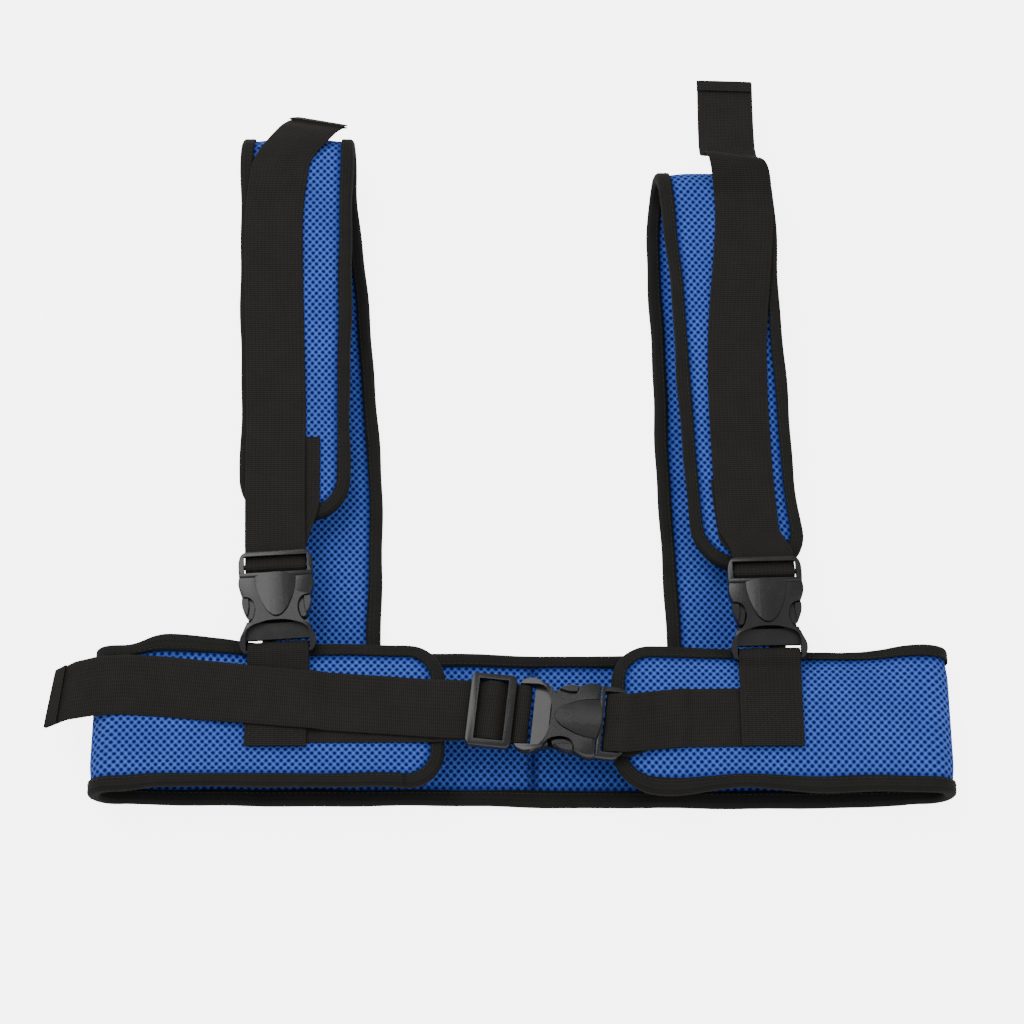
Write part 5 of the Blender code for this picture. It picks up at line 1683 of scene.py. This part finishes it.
    def build_fixed(self) -> None:
        """Builds the webbing sewn on the right wing, round the frame's centre bar."""
        lay, up = self.lay, np.array([[0.0, 1.0, 0.0]])
        first, second = WEB.level(PAD), WEB.level(PAD, 1)
        end = self.stub_x("right") + WEB.width / 2 - 1.5 * MM
        short = lay.right_wing_end + 43 * MM
        run, across = self.buckle.put(sewn_frame_run())
        lower = [(short, -2.6 * MM, first), (short - 22 * MM, -4.6 * MM, first)]
        upper = [
            (lay.right_wing_end + 27 * MM, -4.6 * MM, second + 0.2 * MM),
            (short, -2.8 * MM, second),
            (short + 6 * MM, -2.4 * MM, first),
            (end, -1.4 * MM, first),
        ]
        flat = self.across_wings(up)
        strip = Strip.chain((self.on_wings(lower), flat), (run, -across), (self.on_wings(upper), flat))
        piece = strip.even(1.0 * MM, 2).shape().shown("waist_webbing_sewn_loop")
        self.wardrobe.dress(piece, FinishName.WEBBING)
        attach(piece, "belt")
        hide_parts("waist_webbing_fixed")

    def box_x(self, stitches: Stitching, x: float, low: float, high: float, level: float) -> None:
        """A box of stitches with both diagonals, in the wings' plane.

        Args:
            stitches: where the rows go.
            x: the box's middle.
            low: its lower side.
            high: its upper side.
            level: height of the cloth's face over the wings' mid-surface.
        """
        half = WEB.width / 2 - 3 * MM
        corners = [(x - half, low), (x + half, low), (x + half, high), (x - half, high)]
        pairs = [(0, 1), (1, 2), (2, 3), (3, 0), (0, 2), (1, 3)]
        up = self.across_wings([(0, 0, 1.0)])[0]
        share = np.linspace(0, 1, 20)[:, None]
        for a, b in pairs:
            ends = self.on_wings([(*corners[a], level), (*corners[b], level)])
            stitches.add(ends[0] + share * (ends[1] - ends[0]), up)

    def build_stub(self, side: str, stitches: Stitching) -> None:
        """Builds one stub: down over the wing, round the buckle's bar, and back under itself."""
        buckle, x = self.shoulders[side], self.stub_x(side)
        first, second = WEB.level(PAD), WEB.level(PAD, 1)
        slope, half = math.tan(self.lay.tilt), self.lay.height / 2

        def on_wing(y: float, level: float) -> tuple[float, float, float]:
            """A point at this Y and this level over the wing."""
            return x, y, self.lay.wing_z - y * slope + level / math.cos(self.lay.tilt)

        loop, loop_across = buckle.put(housing_loop()[::-1])
        down = [on_wing(y, second) for y in (-20.5 * MM, 20 * MM, half - 17 * MM)]
        back = [on_wing(half - 15 * MM, first), on_wing(22.5 * MM, first)]
        way = np.array([1.0, 0.0, 0.0])
        strip = Strip.chain((down, way), (loop, loop_across), (back, way)).even(1.0 * MM, 3)
        piece = strip.shape().shown(f"{side}_stub_tape")
        self.wardrobe.dress(piece, FinishName.WEBBING)
        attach(piece, "belt")
        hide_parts(f"{side}_stub_webbing")
        self.box_x(stitches, x, -18 * MM, 13 * MM, second + WEB.thick / 2 + 0.03 * MM)

    def build(self) -> None:
        """Builds the webbings, the stubs and their thread."""
        stitches = Stitching("webbing_stitching", length=2.2 * MM, spacing=2.9 * MM)
        self.build_adjustable(stitches)
        self.build_fixed()
        for side in ("left", "right"):
            self.build_stub(side, stitches)
        stitches.sewn(self.wardrobe, "belt")


@dataclass
class MouldedParts:
    """The buckles and the tri-glide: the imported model's own shapes, welded and smoothed."""

    wardrobe: Wardrobe
    nodes: dict[str, bpy.types.Object]
    crease: float = math.radians(30)

    def smoothing(self) -> bpy.types.NodeTree:
        """A modifier's nodes: merge doubles, shade smooth, and keep edges sharp past the crease."""
        group = bpy.data.node_groups.new("weld_and_smooth", "GeometryNodeTree")
        group.interface.new_socket("Geometry", in_out="INPUT", socket_type="NodeSocketGeometry")
        group.interface.new_socket("Geometry", in_out="OUTPUT", socket_type="NodeSocketGeometry")
        w = Wiring(group)
        given, out = w.node("NodeGroupInput"), w.node("NodeGroupOutput")
        doubles = {"Geometry": given.outputs[0], "Distance": 0.01 * MM}
        weld = w.node("GeometryNodeMergeByDistance", doubles)
        smooth = w.node("GeometryNodeSetShadeSmooth", {"Geometry": weld.outputs[0]}, domain="FACE")
        smooth.inputs["Shade Smooth"].default_value = True
        angles = {0: w.node("GeometryNodeInputMeshEdgeAngle").outputs[0], 1: self.crease}
        sharp = w.node("FunctionNodeCompare", angles, operation="GREATER_THAN")
        edges = w.node("GeometryNodeSetShadeSmooth", {"Geometry": smooth.outputs[0]}, domain="EDGE")
        w.feed(sharp.outputs[0], edges.inputs["Selection"])
        edges.inputs["Shade Smooth"].default_value = False
        w.feed(edges.outputs[0], out.inputs[0])
        return group

    def build(self) -> None:
        """Dresses and smooths every moulded node."""
        group = self.smoothing()
        for name in sorted(self.nodes):
            if "buckle" in name or "prong" in name or "glide" in name:
                node = self.nodes[name]
                self.wardrobe.redress(node, FinishName.ACETAL)
                node.modifiers.new("weld_and_smooth", "NODES").node_group = group
                LOG.info("%s: dressed", name)


@dataclass(frozen=True)
class Lamp:
    """A square soft light: its name, its place, its power in watts and its side."""

    name: str
    place: tuple[float, float, float]
    power: float
    size: float = 1.5


@dataclass(frozen=True)
class Studio:
    """A pale floor, soft light from above, and the camera."""

    target: tuple[float, float, float] = (-0.006, 0.145, 0.0)
    elevation: float = 70.0
    distance: float = 1.69
    field_of_view: float = 22.0
    floor_half: float = 6.0
    floor_level: float = -0.4 * MM
    backdrop: float = 0.93
    glow: float = 5.0
    sky: float = 0.74
    lamps: tuple[Lamp, ...] = (
        Lamp("key_light", (-0.9, 1.1, 1.9), 31),
        Lamp("fill_light", (1.3, -0.5, 1.7), 11),
    )

    def build(self) -> None:
        """Makes the floor, the sky, the lamps and the camera."""
        self.lay_floor()
        world = bpy.data.worlds.new("soft_sky")
        world.use_nodes = True
        world.node_tree.nodes["Background"].inputs["Color"].default_value = (1, 1, 1, 1)
        world.node_tree.nodes["Background"].inputs["Strength"].default_value = self.sky
        bpy.context.scene.world = world
        for lamp in self.lamps:
            self.hang(lamp)
        self.point_camera()

    def lay_floor(self) -> None:
        """A matt floor that glows for the camera only, so that it stays pale between shadows."""
        floor_mesh = bpy.data.meshes.new("floor")
        corners = [(-1, -1), (1, -1), (1, 1), (-1, 1)]
        spots = [(x * self.floor_half, y * self.floor_half, self.floor_level) for x, y in corners]
        floor_mesh.from_pydata(spots, [], [(0, 1, 2, 3)])
        floor = bpy.data.objects.new("floor", floor_mesh)
        bpy.context.scene.collection.objects.link(floor)
        paint = bpy.data.materials.new("pale_floor")
        paint.use_nodes = True
        shader = paint.node_tree.nodes["Principled BSDF"]
        shader.inputs["Base Color"].default_value = (self.backdrop,) * 3 + (1,)
        shader.inputs["Roughness"].default_value = 0.9
        shader.inputs["Specular IOR Level"].default_value = 0.1
        w = Wiring(paint.node_tree)
        seen = w.math("MULTIPLY", w.node("ShaderNodeLightPath").outputs["Is Camera Ray"], self.glow)
        shader.inputs["Emission Color"].default_value = (1, 1, 1, 1)
        w.feed(seen, shader.inputs["Emission Strength"])
        floor_mesh.materials.append(paint)

    def point_camera(self) -> None:
        """The camera, in front of the belt and above it."""
        angle = math.radians(self.elevation)
        back = Vector((0, -math.cos(angle), math.sin(angle)))
        lens = bpy.data.cameras.new("camera")
        lens.angle = math.radians(self.field_of_view)
        lens.clip_start, lens.clip_end = 0.05, 30
        camera = bpy.data.objects.new("camera", lens)
        camera.location = Vector(self.target) + back * self.distance
        camera.rotation_euler = (-back).to_track_quat("-Z", "Y").to_euler()
        bpy.context.scene.collection.objects.link(camera)
        bpy.context.scene.camera = camera

    def hang(self, lamp: Lamp) -> None:
        """Hangs a lamp so that it looks at the target."""
        light = bpy.data.lights.new(lamp.name, "AREA")
        light.size, light.energy = lamp.size, lamp.power
        hung = bpy.data.objects.new(lamp.name, light)
        hung.location = lamp.place
        way = Vector(self.target) - Vector(lamp.place)
        hung.rotation_euler = way.to_track_quat("-Z", "Y").to_euler()
        bpy.context.scene.collection.objects.link(hung)


def strap_lays(belt: BeltLay) -> tuple[StrapLay, StrapLay]:
    """Both shoulder straps' lays. Their tips lie just under their buckles' frames."""
    h = HARDWARE
    edge = belt.height / 2 - 12 * MM
    bar_level = PAD.thick / 2 + 2 * WEB.gap + WEB.thick + h.bar
    buckle_z = belt.wing_z - edge * math.tan(belt.tilt) + bar_level
    tip_z = buckle_z + h.frame_bottom - 2 * MM - PAD.thick / 2
    left = in_mm(-126, -124.6, -133.5, -147.5, -147.5, -143.6, -143)
    right = in_mm(129.3, 124.7, 122.3, 119.7, 128.2, 139.6, 146.3)
    return (
        StrapLay("left", 352 * MM, left, tip_z, front_length=270 * MM),
        StrapLay("right", 327 * MM, right, tip_z, narrows_over=90 * MM),
    )


LEFT_TAIL = LooseTail(
    places=in_mm(0, 75, 108, 172, 206, 224, 243),
    drift=in_mm(-12.6, -12.6, -13.4, -14.6, -14.6, -13, -10),
    leaves=6 * MM,
    end=(
        in_mm(5, 10, 0.2),
        in_mm(11.5, 19, -1),
        in_mm(17.5, 28, -4),
        in_mm(22, 34, -9),
        in_mm(25, 37.5, -15),
    ),
    across=(
        (0.99, -0.08, 0.03),
        (0.98, -0.15, 0.07),
        (0.96, -0.21, 0.12),
        (0.945, -0.26, 0.18),
        (0.93, -0.29, 0.22),
    ),
    sewn_drift=-3 * MM,
    sewn_length=55 * MM,
)
RIGHT_TAIL = LooseTail(
    places=in_mm(30, 50, 110, 145, 175, 207, 235, 250),
    drift=in_mm(0.3, 1.6, 2.5, 4.3, 7.8, 12.7, 16, 17),
    leaves=3 * MM,
    end=(
        in_mm(-0.8, 8, 4.5),
        in_mm(-2.2, 16, 8),
        in_mm(-4.2, 22.5, 8.8),
        in_mm(-6, 26, 5),
        in_mm(-7.3, 28.5, -2),
        in_mm(-8, 32, -9),
        in_mm(-8.4, 41, -14.5),
        in_mm(-8.3, 58, -19),
        in_mm(-8, 77, -22.5),
        in_mm(-7.6, 96, -25.5),
    ),
    across=(
        (1, 0, 0),
        (0.99, -0.06, 0),
        (0.98, -0.16, 0),
        (0.98, -0.17, 0.04),
        (0.98, -0.14, 0.1),
        (0.96, -0.13, 0.2),
        (0.95, -0.14, 0.24),
        (0.94, -0.15, 0.25),
        (0.94, -0.17, 0.25),
        (0.94, -0.17, 0.25),
    ),
)


def corners(box: tuple[Vector, Vector]) -> list[list[float]]:
    """A box's two corners as plain lists."""
    return [[float(c) for c in corner] for corner in box]


def main() -> None:
    """Builds every sub-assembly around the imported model."""
    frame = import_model()
    joints = frame["joints"]
    Studio().build()
    wardrobe = Wardrobe()

    def buckle(name: str, first: str, second: str, slide_sign: float) -> BucklePlace:
        """A buckle's place, from its name and its two prongs', the one on local +X first."""
        prongs = [f"{name}_prong_{prong}_press" for prong in (first, second)]
        return BucklePlace.read(joints, f"{name}_release", prongs, slide_sign)

    waist = buckle("waist", "lower", "upper", -1)
    shoulders = {
        "left": buckle("left", "inner", "outer", 1),
        "right": buckle("right", "outer", "inner", 1),
    }
    belt = WaistBelt(wardrobe)
    belt.build()
    for lay, tail in zip(strap_lays(belt.lay), (LEFT_TAIL, RIGHT_TAIL)):
        ShoulderStrap(wardrobe, lay, shoulders[lay.side], tail).build()
    WaistWebbing(wardrobe, belt.lay, waist, shoulders).build()
    MouldedParts(wardrobe, frame["nodes"]).build()


if __name__ == "__main__":
    logging.basicConfig(level=logging.INFO, format="%(message)s")
    main()
